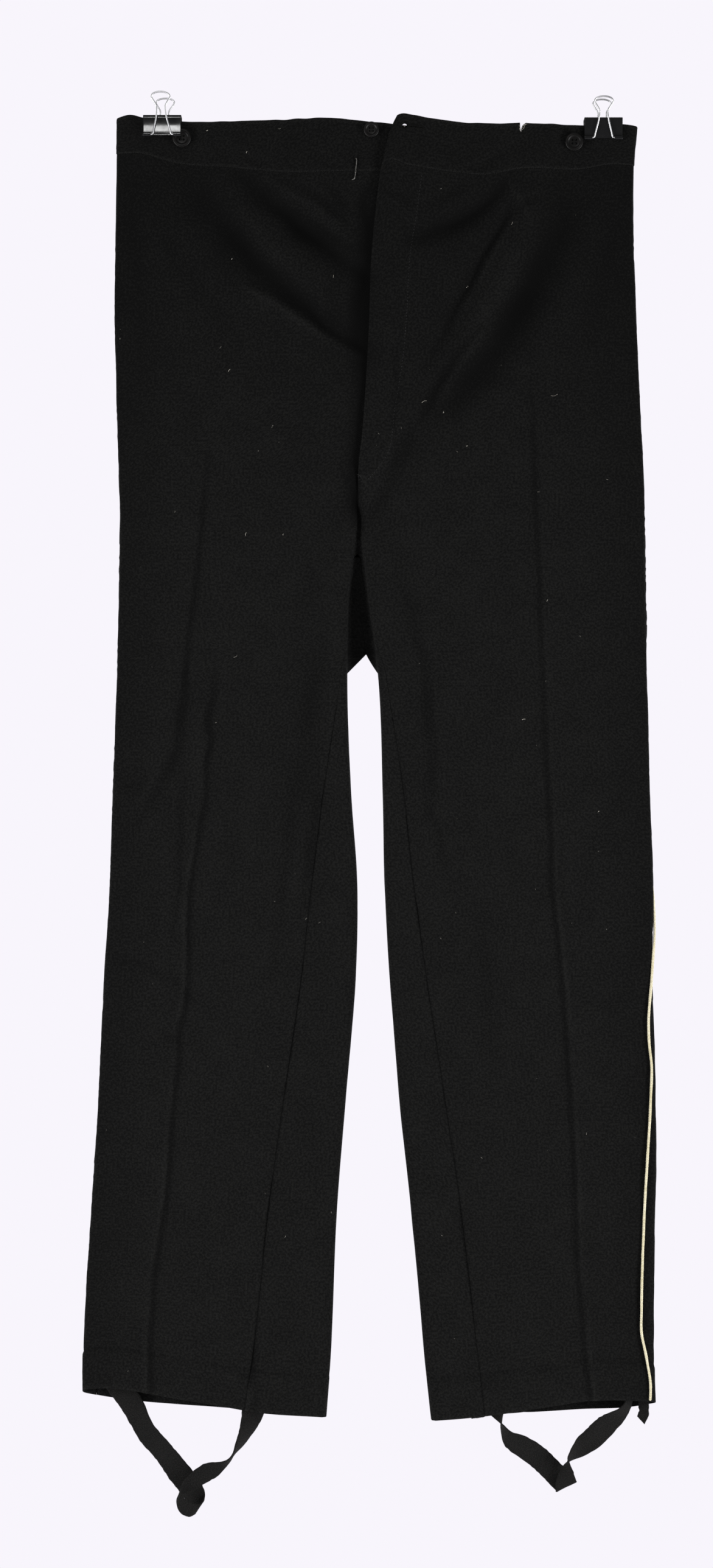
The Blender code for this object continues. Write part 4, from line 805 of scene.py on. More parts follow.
def panelHeights():
    # Rows down a leg: close together at the two ends and even between the places that matter.
    top = -cloth["bandHeight"] - cloth["seamGap"]
    marks = [top - edgeSteps[-1], cloth["crotchTop"], cloth["forkPoint"], cloth["archTop"], cloth["archFoot"],
             cloth["hem"] + edgeSteps[-1]]
    heights = [top - step for step in edgeSteps[:-1]] + [marks[0]]
    for high, low in zip(marks, marks[1:]):
        heights += list(np.linspace(high, low, max(2, round((high - low) / panelSetting["rowStep"])) + 1)[1:])
    return heights + [cloth["hem"] + step for step in edgeSteps[-2::-1]]


heights = panelHeights()


def frontLengths(outline):
    half = cloth["seamGap"] / 2
    start = 0.0 if outline.z > cloth["crotchTop"] else outline.inseam() + half
    end = outline.sideSeam() - half
    crease = outline.atFront(outline.leg("crease"))
    fold = max(outline.innerEnd, start + 14.0)
    cap = min(outline.capStart, end - 7.0)
    capBack = min(outline.capEnd, end - 2.0)
    width = cloth["creaseWidth"]
    marks = fromEdge(start, 1) + [fold, crease - width, crease, crease + width, cap, capBack] + fromEdge(end, -1)[::-1]
    return spread(marks, panelSetting["frontColumns"])


def backLengths(outline):
    half = cloth["seamGap"] / 2
    start = outline.sideSeam() + half
    end = outline.total if outline.closed else outline.total - half
    crease = outline.atBack(outline.leg("backCrease"))
    cap = max(outline.capEnd, start + 4.0)
    turn = min(outline.backEnd, end - 6.5)
    width = cloth["creaseWidth"]
    marks = fromEdge(start, 1) + [cap, crease - width, crease, crease + width, turn] + fromEdge(end, -1)[::-1]
    return spread(marks, panelSetting["backColumns"])


def flapLengths(outline):
    end = outline.inseam() - cloth["seamGap"] / 2
    marks = [end * share for share in (0, 0.04, 0.1, 0.2, 0.3)]
    turn = min(max(outline.innerEnd, marks[-1] + 0.05 * end), end * 0.66)
    marks += [turn] + [end - min(step, end * share) for step, share in zip(edgeSteps[::-1], (0.3, 0.2, 0.1, 0.04, 0))]
    return spread(marks, panelSetting["flapColumns"])


def hemTurnLine(x):
    # The height of the line where the hem's turning ends inside.
    return cloth["hem"] + panelSetting["hemTurn"] + 1.2 * lineNoise(x, 0, 34.0, 27)


def panelWearAndShade(face, x, z, seamAway):
    # How worn the cloth is, with painted light and shade in it: above nought on ridges and along edges, below in
    # troughs and other shaded places.
    setting = wearAndShadeSetting
    # painted shade in the troughs of the folds and creases, and a lighter tone on their ridges, partly wear and partly
    # painted highlight
    wearAndShade = setting["crease"] * foldHeight(face, x, z, creases) + setting["fold"] * foldHeight(face, x, z, folds)
    wearAndShade *= (1 - clipPinch(x, z)) * ease((-32.0 - z) / 20.0)
    lower = lowerLeg(z)
    for side, table in legs.items():
        ridge, whole = creasePath(side, face, z)
        # the ridge of each pressed crease is lighter, partly wear and partly painted highlight, with a band of painted
        # shade beside it on its inner side
        grow = 0.35 * ease((-290.0 - z) / 150.0) + 0.65 * lower
        shade = 0.85 * ease(((-200.0 if side == "left" else -258.0) - z) / 80.0) + 0.15 * lower
        inner = (x - ridge) * (1 if side == "right" else -1)
        worn = setting["ridge"] + setting["ridgeChange"] * lineNoise(z, 22.5, 24.0, 17)
        wearAndShade += whole * grow * worn * np.exp(-(inner / 1.7) ** 2)
        wearAndShade -= whole * shade * setting["besideRidge"] * np.exp(-((inner - 4.2) / 2.4) ** 2)
        # darker near the outer fold of each leg
        beside = np.abs(x - readColumn(table, legColumns, "outer", z))
        wearAndShade -= setting["sides"] * np.exp(-(beside / 38.0) ** 2)
    # painted shade along the step where the hem is turned up inside
    wearAndShade -= setting["hemLine"] * np.exp(-((z - hemTurnLine(x)) / 1.3) ** 2)
    seam = setting["seam"] - setting["lowerSeam"] * ease((-480.0 - z) / 90.0)
    wearAndShade += seam * np.exp(-(seamAway / 0.8) ** 2) + setting["hemEdge"] * np.exp(-((z - cloth["hem"]) / 1.8) ** 2)
    if face == "front":
        # painted shadow of the lap on the right front, beside the fly's edge
        under = readColumn(fly, flyColumns, "edge", z) - x
        length = ease((z + 350.0) / 26.0) * ease((-44.0 - z) / 70.0)
        wearAndShade -= setting["lapShadow"] * np.exp(-(under / 9.0) ** 2) * (under > 0) * length
    # painted shade: the cloth darkens towards the waist
    return wearAndShade - setting["waist"] * (1 - ease((-60.0 - z) / 350.0))


def panelRelief(points, z, seamAway, seed):
    # Swells, puckers beside the seams and the step where the hem is turned up inside.
    relief = smallRelief(points, seed)
    setting = panelSetting
    relief += setting["pucker"] * np.exp(-seamAway / setting["puckerReach"]) * lineNoise(
        z, seed * 3.3, setting["puckerStep"], seed + 5)
    line = hemTurnLine(points[..., 0])
    relief += setting["hemStep"] * ease((line - z) / 2.5)
    relief -= 0.5 * np.exp(-((z - line) / 1.5) ** 2)
    fade = (1 - 0.85 * clipPinch(points[..., 0], z)) * ease((-44.0 - z) / 6.0)
    return relief * fade


def makeFront(side):
    outlineRows = [outlineAt(side, z) for z in heights]
    lengthRows = [frontLengths(o) for o in outlineRows]
    points, ways, z = layGrid(side, heights, lengthRows)
    lengths = np.array(lengthRows)
    fromStart = lengths - lengths[:, :1]
    fromEnd = lengths[:, -1:] - lengths
    away = np.minimum(fromStart, fromEnd)
    weaveStart, seed = weavePlaces["front_" + side]
    relief = panelRelief(points, z, away, seed)
    roll = panelSetting["roll"]
    drop = np.maximum(edgeDrop(away, roll), edgeDrop(np.minimum(z[0, 0] - z, z - z[-1, 0]), roll))
    points = points + ways * relief[..., None]
    uvs = np.stack([lengths + weaveStart, z], axis=-1)
    wearAndShade = panelWearAndShade("front", points[..., 0], z, away)
    shell = makeShell("front_" + side + "_cloth", points, ways, uvs, cloth["thick"], drop, side == "right", wearAndShade)
    finishPiece(shell, woolSerge, "cloth", "front_" + side)
    return shell


def makeBack(side):
    main = [backLengths(outlineAt(side, z)) for z in heights]
    noFlap = [0.0] * (sum(panelSetting["flapColumns"]) + 1)
    flap = [flapLengths(outlineAt(side, z)) if z <= cloth["forkPoint"] else noFlap for z in heights]
    mainPoints, mainWays, z = layGrid(side, heights, main)
    flapPoints, flapWays, _ = layGrid(side, heights, flap)
    mainLengths, flapLengthsGrid = np.array(main), np.array(flap)
    closed = np.array([outlineAt(side, h).closed for h in heights])[:, None]
    far = 999.0
    mainAway = np.minimum(mainLengths - mainLengths[:, :1], np.where(closed, far, mainLengths[:, -1:] - mainLengths))
    flapAway = np.minimum(flapLengthsGrid[:, -1:] - flapLengthsGrid,
                          np.where(closed, far, flapLengthsGrid - flapLengthsGrid[:, :1]))
    points = np.concatenate([mainPoints, flapPoints], axis=1)
    ways = np.concatenate([mainWays, flapWays], axis=1)
    columns = mainLengths.shape[1]
    ways[closed[:, 0], columns] = ways[closed[:, 0], columns - 1]
    away = np.concatenate([mainAway, flapAway], axis=1)
    z = np.repeat(z[:, :1], points.shape[1], axis=1)
    weaveStart, seed = weavePlaces["back_" + side]
    relief = panelRelief(points, z, away, seed)
    relief[:, columns:] *= ease((z[:, columns:] + 470.0) / -40.0)
    relief[:, columns - 8:columns] *= np.linspace(1, 0, 8)[None, :]
    relief[:, columns:] *= ease(np.arange(points.shape[1] - columns) / 6.0)[None, :]
    roll = panelSetting["roll"]
    vertical = np.minimum(z[0, 0] - z, z - z[-1, 0])
    drop = np.maximum(edgeDrop(away, roll), edgeDrop(vertical, roll))
    points = points + ways * relief[..., None]
    uvs = np.concatenate([mainLengths, np.where(closed, mainLengths[:, -1:], 0) + flapLengthsGrid], axis=1)
    uvs = np.stack([uvs + weaveStart, z], axis=-1)
    numbers = np.arange(points.shape[0] * points.shape[1]).reshape(points.shape[:2])
    numbers[closed[:, 0], columns] = numbers[closed[:, 0], columns - 1]
    present = np.ones((points.shape[0] - 1, points.shape[1] - 1), bool)
    present[:, columns - 1] = False
    forkRows = (np.array(heights) <= cloth["forkPoint"] + 1e-6)[:-1]
    present[~forkRows, columns:] = False
    wearAndShade = panelWearAndShade("back", points[..., 0], z, away)
    shell = makeShell("back_" + side + "_cloth", points, ways, uvs, cloth["thick"], drop, side == "right", wearAndShade,
                      present, numbers)
    finishPiece(shell, woolSerge, "cloth", "back_" + side)
    return shell


print("legs")
frontCloth = {}
backCloth = {}
for side in ("right", "left"):
    frontCloth[side] = makeFront(side)
    backCloth[side] = makeBack(side)

print("waistband")
bandSetting = {
    "columns": 250, "rows": 30, "topRoll": 1.35, "seamRoll": 0.6, "endRoll": 1.2,
    "holeX": 18.9, "holeZ": -9.4, "eye": 2.1, "slotEnd": 34.0, "slot": 0.25, "holeDrop": -1.8,
    "tearX": 118.4, "tearHalf": 3.6, "tearFoot": -13.8, "tearLean": -2.1}


def makeBand(side):
    setting = bandSetting
    bandHeights = spread([0.0, -0.12, -0.4, -0.9, -1.6, -2.8, -41.5, -42.9, -43.5, -43.8, -44.0],
                         [1, 1, 1, 1, 1, setting["rows"], 1, 1, 1, 1])
    rows = []
    for z in bandHeights:
        outline = outlineAt(side, z)
        end = outline.total - cloth["seamGap"] / 2
        rows.append(spread(fromEdge(0.0, 1) + fromEdge(end, -1)[::-1], [1, 1, 1, 1, setting["columns"], 1, 1, 1, 1]))
    points, ways, z = layGrid(side, bandHeights, rows, cloth["bandProud"])
    lengths = np.array(rows)
    weaveStart, seed = weavePlaces["waistband_" + side]
    # a place round the band that tells its front from its back
    turn = points[..., 0] + 300 * (points[..., 1] > 0)
    relief = 0.30 * softNoise(turn, z, 24.0, seed)
    relief += 0.16 * softNoise(turn, z, 7.5, seed + 1)
    relief += 0.30 * np.exp(-((z + 44.0) / 3.2)) * lineNoise(points[..., 0], 0, 5.5, seed + 2)
    relief *= 1 - 0.8 * clipPinch(points[..., 0], z)
    drop = np.maximum.reduce([
        edgeDrop(-z, setting["topRoll"]), edgeDrop(z + 44.0, setting["seamRoll"]),
        edgeDrop(lengths, setting["endRoll"]), edgeDrop(lengths[:, -1:] - lengths, 0.6)])
    points = points + ways * relief[..., None]
    turn = points[..., 0] + 300 * (points[..., 1] > 0)
    points[..., 2] += 0.35 * lineNoise(turn, 0, 9.0, seed + 3) * ease((z + 20) / 20)
    uvs = np.stack([lengths + weaveStart, z], axis=-1)
    wearAndShade = 0.5 * np.exp(-(z / 2.2) ** 2) + 0.3 * np.exp(-((z + 44.0) / 1.2) ** 2) - 0.16
    return makeShell("waistband_" + side + "_cloth", points, ways, uvs, cloth["bandThick"], drop, side == "right", wearAndShade)


def pointOut(mesh):
    # Turns the faces of a closed mesh outwards.
    work = bmesh.new()
    work.from_mesh(mesh)
    bmesh.ops.recalc_face_normals(work, faces=work.faces)
    work.to_mesh(mesh)
    work.free()


def prism(outline, yLow, yHigh):
    # A cutter: an outline seen from the front, drawn through in depth.
    count = len(outline)
    vertices = [(x, yLow, z) for x, z in outline] + [(x, yHigh, z) for x, z in outline]
    faces = [tuple(range(count)), tuple(reversed(range(count, 2 * count)))]
    faces += [(i, count + i, count + (i + 1) % count, (i + 1) % count) for i in range(count)]
    mesh = makeMesh("cutter", vertices, faces)
    pointOut(mesh)
    return newObject("cutter", mesh)


def putModifiersIn(thing):
    # Gives a thing the mesh that its modifiers make.
    graph = bpy.context.evaluated_depsgraph_get()
    graph.update()
    mesh = bpy.data.meshes.new_from_object(thing.evaluated_get(graph))
    thing.modifiers.clear()
    thing.data = mesh


def cutOut(thing, cutters):
    for cutter in cutters:
        boolean = thing.modifiers.new("cut", "BOOLEAN")
        boolean.operation = "DIFFERENCE"
        boolean.solver = "EXACT"
        boolean.object = cutter
    putModifiersIn(thing)
    for cutter in cutters:
        bpy.data.objects.remove(cutter, do_unlink=True)


def keyhole(grow, steps):
    # The outline of the keyhole buttonhole, from the upper side of the slot round the eye.
    setting = bandSetting
    eye = setting["eye"] + grow
    slot = setting["slot"] + grow
    start = math.asin(min(slot / eye, 0.9))
    outline = []
    for i in range(steps + 1):
        angle = start + (2 * math.pi - 2 * start) * i / steps
        outline.append((setting["holeX"] + eye * math.cos(angle), setting["holeZ"] + eye * math.sin(angle)))
    middle = setting["holeZ"] + setting["holeDrop"]
    outline += [(setting["slotEnd"] + grow, middle - slot), (setting["slotEnd"] + grow, middle + slot)]
    return outline


def tearOutline():
    # The torn place in the top edge, down one side to its foot and up the other.
    x, half = bandSetting["tearX"], bandSetting["tearHalf"]
    down = [(-0.80, 4), (-0.78, -6), (-0.72, -9.6)]
    up = [(-0.46, -10.8), (-0.28, -8.8), (0.10, -7.4), (0.55, -6.4), (0.85, 4)]
    foot = (x + bandSetting["tearLean"], bandSetting["tearFoot"])
    return [(x + half * share, z) for share, z in down] + [foot] + [(x + half * share, z) for share, z in up]


bands = {side: makeBand(side) for side in ("right", "left")}
cutOut(bands["left"], [prism(keyhole(0.0, 20), -30, -4), prism(tearOutline(), -30, -3)])
for side, band in bands.items():
    finishPiece(band, woolSerge, "cloth", "waistband_" + side)


print("tapes")
# A row for each place along a tape: x, y and z of one edge, then x, y and z of the other.
rightStrap = [
    (-236.1, 1.5, -1060.2, -221.9, 2.9, -1047.8), (-228.1, 1.9, -1070.7, -213.9, 3.5, -1058.3),
    (-218.5, 3, -1083.8, -201.5, 3.6, -1075.2), (-212.4, 4, -1094.3, -195.9, 4.2, -1088.6),
    (-208, 4.4, -1102.2, -190.3, 4.2, -1098.6), (-202.3, 4.4, -1111.6, -183.2, 4, -1106.8),
    (-194.3, 4.2, -1120.6, -176.2, 4, -1114.9), (-186.7, 4.2, -1129.6, -168.9, 4.2, -1123.4),
    (-180.3, 4.8, -1140.1, -162, 4.8, -1132), (-172.2, 5.6, -1150.9, -154.6, 5.6, -1141.6),
    (-165.4, 6.4, -1160.2, -150.2, 6.4, -1149.6), (-159.9, 5.6, -1166.6, -148.6, 6, -1156),
    (-156.6, 1.6, -1169.6, -149.2, 3, -1160.2), (-157.6, -4.6, -1171.3, -152.6, -1.6, -1162.8),
    (-161.4, -9.6, -1171.7, -157.8, -4.6, -1161.9), (-166.4, -11, -1169.9, -162.6, -6.6, -1159),
    (-170.3, -9.4, -1165.6, -166, -7.6, -1155.4), (-171.6, -5.4, -1160.4, -167.6, -7.6, -1151),
    (-170.2, -1.8, -1156.2, -167.4, -7, -1146.8), (-165, -0.2, -1153.6, -165.4, -6.5, -1142.2),
    (-158, 0.2, -1150.7, -161.4, -6.2, -1137.6), (-150.6, 0, -1146.9, -155.1, -6.2, -1132.2),
    (-143.3, -0.8, -1143, -147.7, -6.4, -1128), (-137.2, -1.2, -1139, -139.9, -7.8, -1126.6),
    (-132.2, 0, -1133.4, -133.6, -10.4, -1125.6), (-127.6, 2.4, -1127.6, -128.4, -13, -1123.2),
    (-123.8, 3.6, -1121.6, -124.6, -14.4, -1118.8), (-115.6, 3, -1113.4, -122.2, -14.2, -1110.4),
    (-105.9, 1, -1100.2, -119.1, -12.6, -1098.6), (-99.6, -2.7, -1088.5, -117.4, -9.4, -1087.5),
    (-98.1, -7, -1076.8, -116.9, -9, -1075.2), (-97.6, -7.2, -1062.8, -116.4, -8.6, -1061.2),
]
leftStrap = [
    (102, -8.5, -1063.5, 83, -7.1, -1064.5), (102.7, -7.2, -1073.5, 83.7, -7.6, -1074.5),
    (103.1, -1.6, -1080, 86.2, -7.5, -1081), (102.2, 4.8, -1086.8, 91.6, -7.9, -1087.2),
    (100.9, 7.6, -1093, 97.4, -9.6, -1091.8), (100.2, 7.2, -1101, 102, -9.2, -1095.8),
    (102, 5.8, -1112.6, 108.4, -7.2, -1101.2), (108.5, 4.1, -1119.9, 116.2, -3, -1104.1),
    (117.8, 2.4, -1126, 126.2, 0.8, -1109.2), (127.4, 2.4, -1133.7, 138, 2, -1117.9),
    (136.7, 2.4, -1142.6, 148.5, 2.2, -1128), (142.4, 2.4, -1148.9, 156.6, 2.4, -1136.8),
    (145.5, 1.8, -1151.7, 162, 1.8, -1143.1), (146.1, 0, -1152.4, 163, 0, -1144.1),
    (145.7, -1.8, -1151.5, 162.4, -1.8, -1143), (145.4, -2.8, -1146.2, 161.3, -2.8, -1139.3),
    (147.4, -2.6, -1138.4, 159.6, -5, -1133.9), (151.6, -1.4, -1131.2, 157.2, -9, -1128.6),
    (157, 2.2, -1127.6, 155.4, -11.2, -1122.6), (164.3, 4.2, -1125.2, 157.6, -10.6, -1116.2),
    (174.4, 1.4, -1120.5, 162.9, -6.1, -1107.3), (185.1, -0.4, -1112.6, 171.9, -1.6, -1099),
    (195.1, 2.6, -1102.7, 181.9, -1.8, -1090.1), (202.4, 5.2, -1094.7, 190.4, -5.2, -1085.2),
    (207.4, 5.6, -1086.4, 198.4, -6.4, -1081.8), (210.2, 3.4, -1077, 203.8, -4.2, -1075.4),
    (211.6, 1.8, -1063.4, 204.6, -3, -1061.6),
]
leftTip = [
    (74, -5.2, -1066.3, 86, -5.2, -1065.7), (74.3, -4.9, -1079.5, 86.3, -5.3, -1078.5),
    (74.9, -3.6, -1091, 86.3, -6, -1088.6),
]
leftTail = [
    (214.2, 2, -1068, 223, 0.6, -1068), (214.8, 1.9, -1078.5, 223.6, 0.1, -1079.5),
    (215.5, 0.5, -1084.8, 223.3, -2.5, -1088.2), (213.9, -1.2, -1089, 219.7, -4.8, -1095),
]
tapeSetting = {
    "thick": 1.2, "across": 16, "steps": 9, "cup": 0.35, "ragged": 0.34, "bead": 0.10, "lower": 1.8,
    "widen": 1.003}


def lengthsAlong(points):
    return np.concatenate([[0], np.cumsum(np.linalg.norm(np.diff(points, axis=0), axis=1))])


def smoothRows(rows, steps):
    rows = np.array(rows, float)
    spots = np.arange(len(rows), dtype=float)
    fine = np.linspace(0, len(rows) - 1, (len(rows) - 1) * steps + 1)
    return np.stack([curveThrough(spots, rows[:, k], fine) for k in range(rows.shape[1])], axis=1)


def makeTape(name, table, seed, freeEnd, *nodes):
    # A woven tape: cupped across, with thick selvedges and edges that waver by a thread or two.
    setting = tapeSetting
    rows = smoothRows(table, setting["steps"])
    rows[:, [0, 3]] *= setting["widen"]
    rows[:, [2, 5]] -= setting["lower"]
    middle = (rows[:, :3] + rows[:, 3:]) / 2
    wide = rows[:, 3:] - rows[:, :3]
    halfWidth = np.linalg.norm(wide, axis=1)[:, None] / 2
    wide /= 2 * halfWidth
    ahead = np.gradient(middle, axis=0)
    out = np.cross(wide, ahead)
    out /= np.linalg.norm(out, axis=1)[:, None]
    along = lengthsAlong(middle)
    across = np.sin(np.linspace(-math.pi / 2, math.pi / 2, setting["across"] + 1))
    share = across[None, :]
    edgeRun = along[:, None] + 60 * np.sign(share)
    ragged = setting["ragged"] * lineNoise(edgeRun, seed, 2.6, seed)
    ragged = ragged + 0.5 * setting["ragged"] * lineNoise(edgeRun, 0, 9.0, seed + 1)
    reach = share * (halfWidth + ragged * np.abs(share) ** 3)
    lift = setting["cup"] * (share ** 2 - 0.4) * lineNoise(along, 5.5, 24.0, seed + 2)[:, None]
    lift = lift + 0.12 * softNoise(along[:, None], reach, 4.5, seed + 3)
    half = setting["thick"] / 2 * (1 - np.clip((np.abs(share) - 0.93) / 0.07, 0, 1) ** 2 * 0.75)
    half = half + setting["bead"] * np.exp(-((np.abs(share) - 0.90) / 0.05) ** 2)
    place = middle[:, None, :] + wide[:, None, :] * reach[..., None]
    if freeEnd:
        # the cut end, where single threads stand out further than others
        pull = 0.5 * lineNoise(share[0] * 9, 0, 0.8, seed + 4)
        place[-1] += (ahead[-1] / np.linalg.norm(ahead[-1]))[None, :] * pull[:, None]
    upper = place + out[:, None, :] * (lift + half)[..., None]
    lower = place + out[:, None, :] * (lift - half)[..., None]
    ring = np.concatenate([upper, lower[:, ::-1]], axis=1)
    count = ring.shape[1]
    vertices = ring.reshape(-1, 3)
    number = np.arange(len(vertices)).reshape(len(middle), count)
    following = np.roll(number, -1, axis=1)
    quads = np.stack([number[:-1], number[1:], following[1:], following[:-1]], axis=-1).reshape(-1, 4)
    faces = quads.tolist() + [number[0].tolist(), number[-1][::-1].tolist()]
    u = np.concatenate([reach, reach[:, ::-1]], axis=1)
    uvs = np.stack([u, np.repeat(along[:, None], count, axis=1)], axis=-1).reshape(-1, 2)
    mesh = makeMesh(name, vertices, faces, uvs)
    pointOut(mesh)
    piece = newObject(name, mesh)
    finishPiece(piece, wovenTape, "tape", *nodes)
    print(name, "length", round(float(along[-1]), 1))
    return piece


strapRight = makeTape("foot_strap_right_tape", rightStrap, 201, False, "foot_strap_right")
strapLeft = makeTape("foot_strap_left_tape", leftStrap, 211, False, "foot_strap_left")
tip = makeTape("foot_strap_tip_left_tape", leftTip, 221, True, "foot_strap_tip_left")
tail = makeTape("foot_strap_tail_left_tape", leftTail, 231, True, "foot_strap_tail_left")


def makeTube(name, points, radii, sides):
    # A round wire or cord along places, with domed ends.
    points = np.array(points, float)
    radii = np.broadcast_to(np.asarray(radii, float), (len(points),)).copy()
    ahead = np.gradient(points, axis=0)
    ahead /= np.linalg.norm(ahead, axis=1)[:, None]
    first = points[0] - ahead[0] * radii[0] * 0.4
    last = points[-1] + ahead[-1] * radii[-1] * 0.4
    points = np.concatenate([[first], points, [last]])
    ahead = np.concatenate([[ahead[0]], ahead, [ahead[-1]]])
    radii = np.concatenate([[radii[0] * 0.55], radii, [radii[-1] * 0.55]])
    along = lengthsAlong(points)
    across = np.array([0.0, 1.0, 0.0]) if abs(ahead[0][1]) < 0.9 else np.array([1.0, 0.0, 0.0])
    vertices, uvs = [], []
    for place, way, radius, length in zip(points, ahead, radii, along):
        across = across - way * across.dot(way)
        across /= np.linalg.norm(across)
        up = np.cross(way, across)
        for i in range(sides):
            angle = 2 * math.pi * i / sides
            vertices.append(place + radius * (math.cos(angle) * across + math.sin(angle) * up))
            uvs.append((radius * abs(math.pi - angle), length))
    faces = [tuple(reversed(range(sides)))]
    for k in range(len(points) - 1):
        for i in range(sides):
            j = (i + 1) % sides
            faces.append((k * sides + i, k * sides + j, (k + 1) * sides + j, (k + 1) * sides + i))
    faces.append(tuple(range((len(points) - 1) * sides, len(points) * sides)))
    mesh = makeMesh(name, vertices, faces, uvs)
    pointOut(mesh)
    return newObject(name, mesh)


print("piping")
pipingSetting = {"radius": 1.1, "off": 0.4, "step": 2.2, "swell": 0.07}
for side in ("right", "left"):
    places = []
    for z in np.arange(-cloth["bandHeight"] - 2.5, cloth["hem"] + 0.4, -pipingSetting["step"]):
        outline = outlineAt(side, z)
        grid, ways, _ = layGrid(side, [z], [[outline.sideSeam()]])
        places.append(grid[0, 0] + ways[0, 0] * (pipingSetting["radius"] + pipingSetting["off"]))
    places = np.array(places)
    swell = lineNoise(places[:, 2], 4.5, 5.0, 301)
    sway = lineNoise(places[:, 2], 8.5, 14.0, 302)
    places[:, 0] += 0.18 * sway
    radii = pipingSetting["radius"] * (1 + pipingSetting["swell"] * swell)
    cord = makeTube("piping_" + side + "_cord", places, radii, 14)
    finishPiece(cord, pipingCord, "cord", "piping_" + side)

print("buttons")
buttonNodes = ("brace_button_right", "brace_button_left", "waist_button")
buttonSetting = {"thick": 2.6, "turns": 64, "holeShare": 0.27, "holeSize": 0.115}
# Radius and rise, as shares, from the middle of the back round the rim to the middle of the dish.
buttonProfile = [
    (0.0, 0.0), (0.55, 0.0), (0.78, 0.02), (0.90, 0.14), (0.97, 0.33), (1.0, 0.52), (0.995, 0.68), (0.965, 0.83),
    (0.91, 0.94), (0.85, 0.985), (0.78, 0.97), (0.71, 0.91), (0.65, 0.80), (0.60, 0.70), (0.54, 0.645), (0.45, 0.62),
    (0.30, 0.61), (0.15, 0.605), (0.0, 0.60)]


def ringPlaces(x, z, radius, count, start=0.0):
    # Places round a circle seen from the front.
    turns = [start + 2 * math.pi * i / count for i in range(count)]
    return [(x + radius * math.cos(turn), z + radius * math.sin(turn)) for turn in turns]


def makeButton(node):
    # Turned like a real one: a rim, a dish and four holes, with its sewing.
    low, high = (np.array(corner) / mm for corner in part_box(node))
    x, z = (low[0] + high[0]) / 2, (low[2] + high[2]) / 2
    radius, base = (high[0] - low[0]) / 2, high[1]
    setting = buttonSetting
    turns = setting["turns"]
    vertices = [(x, base, z)]
    faces, rings = [], []
    for share, rise in buttonProfile[1:-1]:
        rings.append(range(len(vertices), len(vertices) + turns))
        vertices += [(px, base - setting["thick"] * rise, pz) for px, pz in ringPlaces(x, z, radius * share, turns)]
    vertices.append((x, base - setting["thick"] * buttonProfile[-1][1], z))
    tipNumber = len(vertices) - 1
    for i in range(turns):
        j = (i + 1) % turns
        faces.append((0, rings[0][i], rings[0][j]))
        for inner, outer in zip(rings, rings[1:]):
            faces.append((inner[i], outer[i], outer[j], inner[j]))
        faces.append((rings[-1][i], tipNumber, rings[-1][j]))
    mesh = makeMesh(node + "_turned", vertices, faces)
    pointOut(mesh)
    button = newObject(node + "_turned", mesh)
    holes = ringPlaces(x, z, radius * setting["holeShare"], 4, math.pi / 4)
    cutters = [prism(ringPlaces(hx, hz, radius * setting["holeSize"], 16), base - setting["thick"] - 1, base + 1)
               for hx, hz in holes]
    cutOut(button, cutters)
    button.data.set_sharp_from_angle(angle=math.radians(50))
    finishPiece(button, hornPlastic, "button", node)
    # two bars of thread through the holes
    front = base - setting["thick"] * 0.62
    for k, (a, b) in enumerate(((holes[1], holes[0]), (holes[2], holes[3]))):
        for strand in (-0.22, 0.0, 0.22):
            bend = [(0.0, 2.0), (0.02, 0.4), (0.10, -0.25), (0.30, -0.5), (0.50, -0.56 - 0.1 * abs(strand)),
                    (0.70, -0.5), (0.90, -0.25), (0.98, 0.4), (1.0, 2.0)]
            places = [(a[0] + (b[0] - a[0]) * share, front + rise, a[1] + (b[1] - a[1]) * share + strand * 0.9)
                      for share, rise in bend]
            thread = makeTube(f"{node}_thread_{k}_{round(strand * 100) + 22}", smoothRows(places, 3), 0.17, 6)
            finishPiece(thread, darkTwist, "tape")


for node in buttonNodes:
    makeButton(node)

print("clips")
clipSetting = {
    "width": 32.0, "sheet": 0.8, "top": {"right": 0.9, "left": -1.1}, "height": 18.6, "spine": 7.6,
    "wire": 0.7, "footReach": 7.2, "lipFrom": 9.4, "clear": 0.3,
    "jaw": {"right": (9.1, 4.8), "left": (4.8, 4.8)}, "handleTop": {"right": 19.2, "left": 15.4},
    "backLower": {"right": 1.0, "left": -2.0}, "hollow": {"right": 0.45, "left": 0.0}}


def roundedPath(points, radius, steps):
    # A path with its inner corners rounded.
    points = [np.array(p, float) for p in points]
    path = [points[0]]
    for before, corner, after in zip(points, points[1:], points[2:]):
        reach = min(radius, np.linalg.norm(corner - before) * 0.45, np.linalg.norm(after - corner) * 0.45)
        a = corner + (before - corner) / np.linalg.norm(before - corner) * reach
        b = corner + (after - corner) / np.linalg.norm(after - corner) * reach
        for i in range(steps + 1):
            t = i / steps
            path.append((1 - t) ** 2 * a + 2 * t * (1 - t) * corner + t * t * b)
    return path + [points[-1]]


# The way of a wire handle: how far from its middle and, as a share of its height, how high.
handleShape = [(4.7, 0.36), (3.8, 0.50), (3.5, 0.63), (4.1, 0.70), (6.9, 0.83), (7.7, 0.885), (6.5, 0.95), (3.4, 0.99),
               (0, 1)]


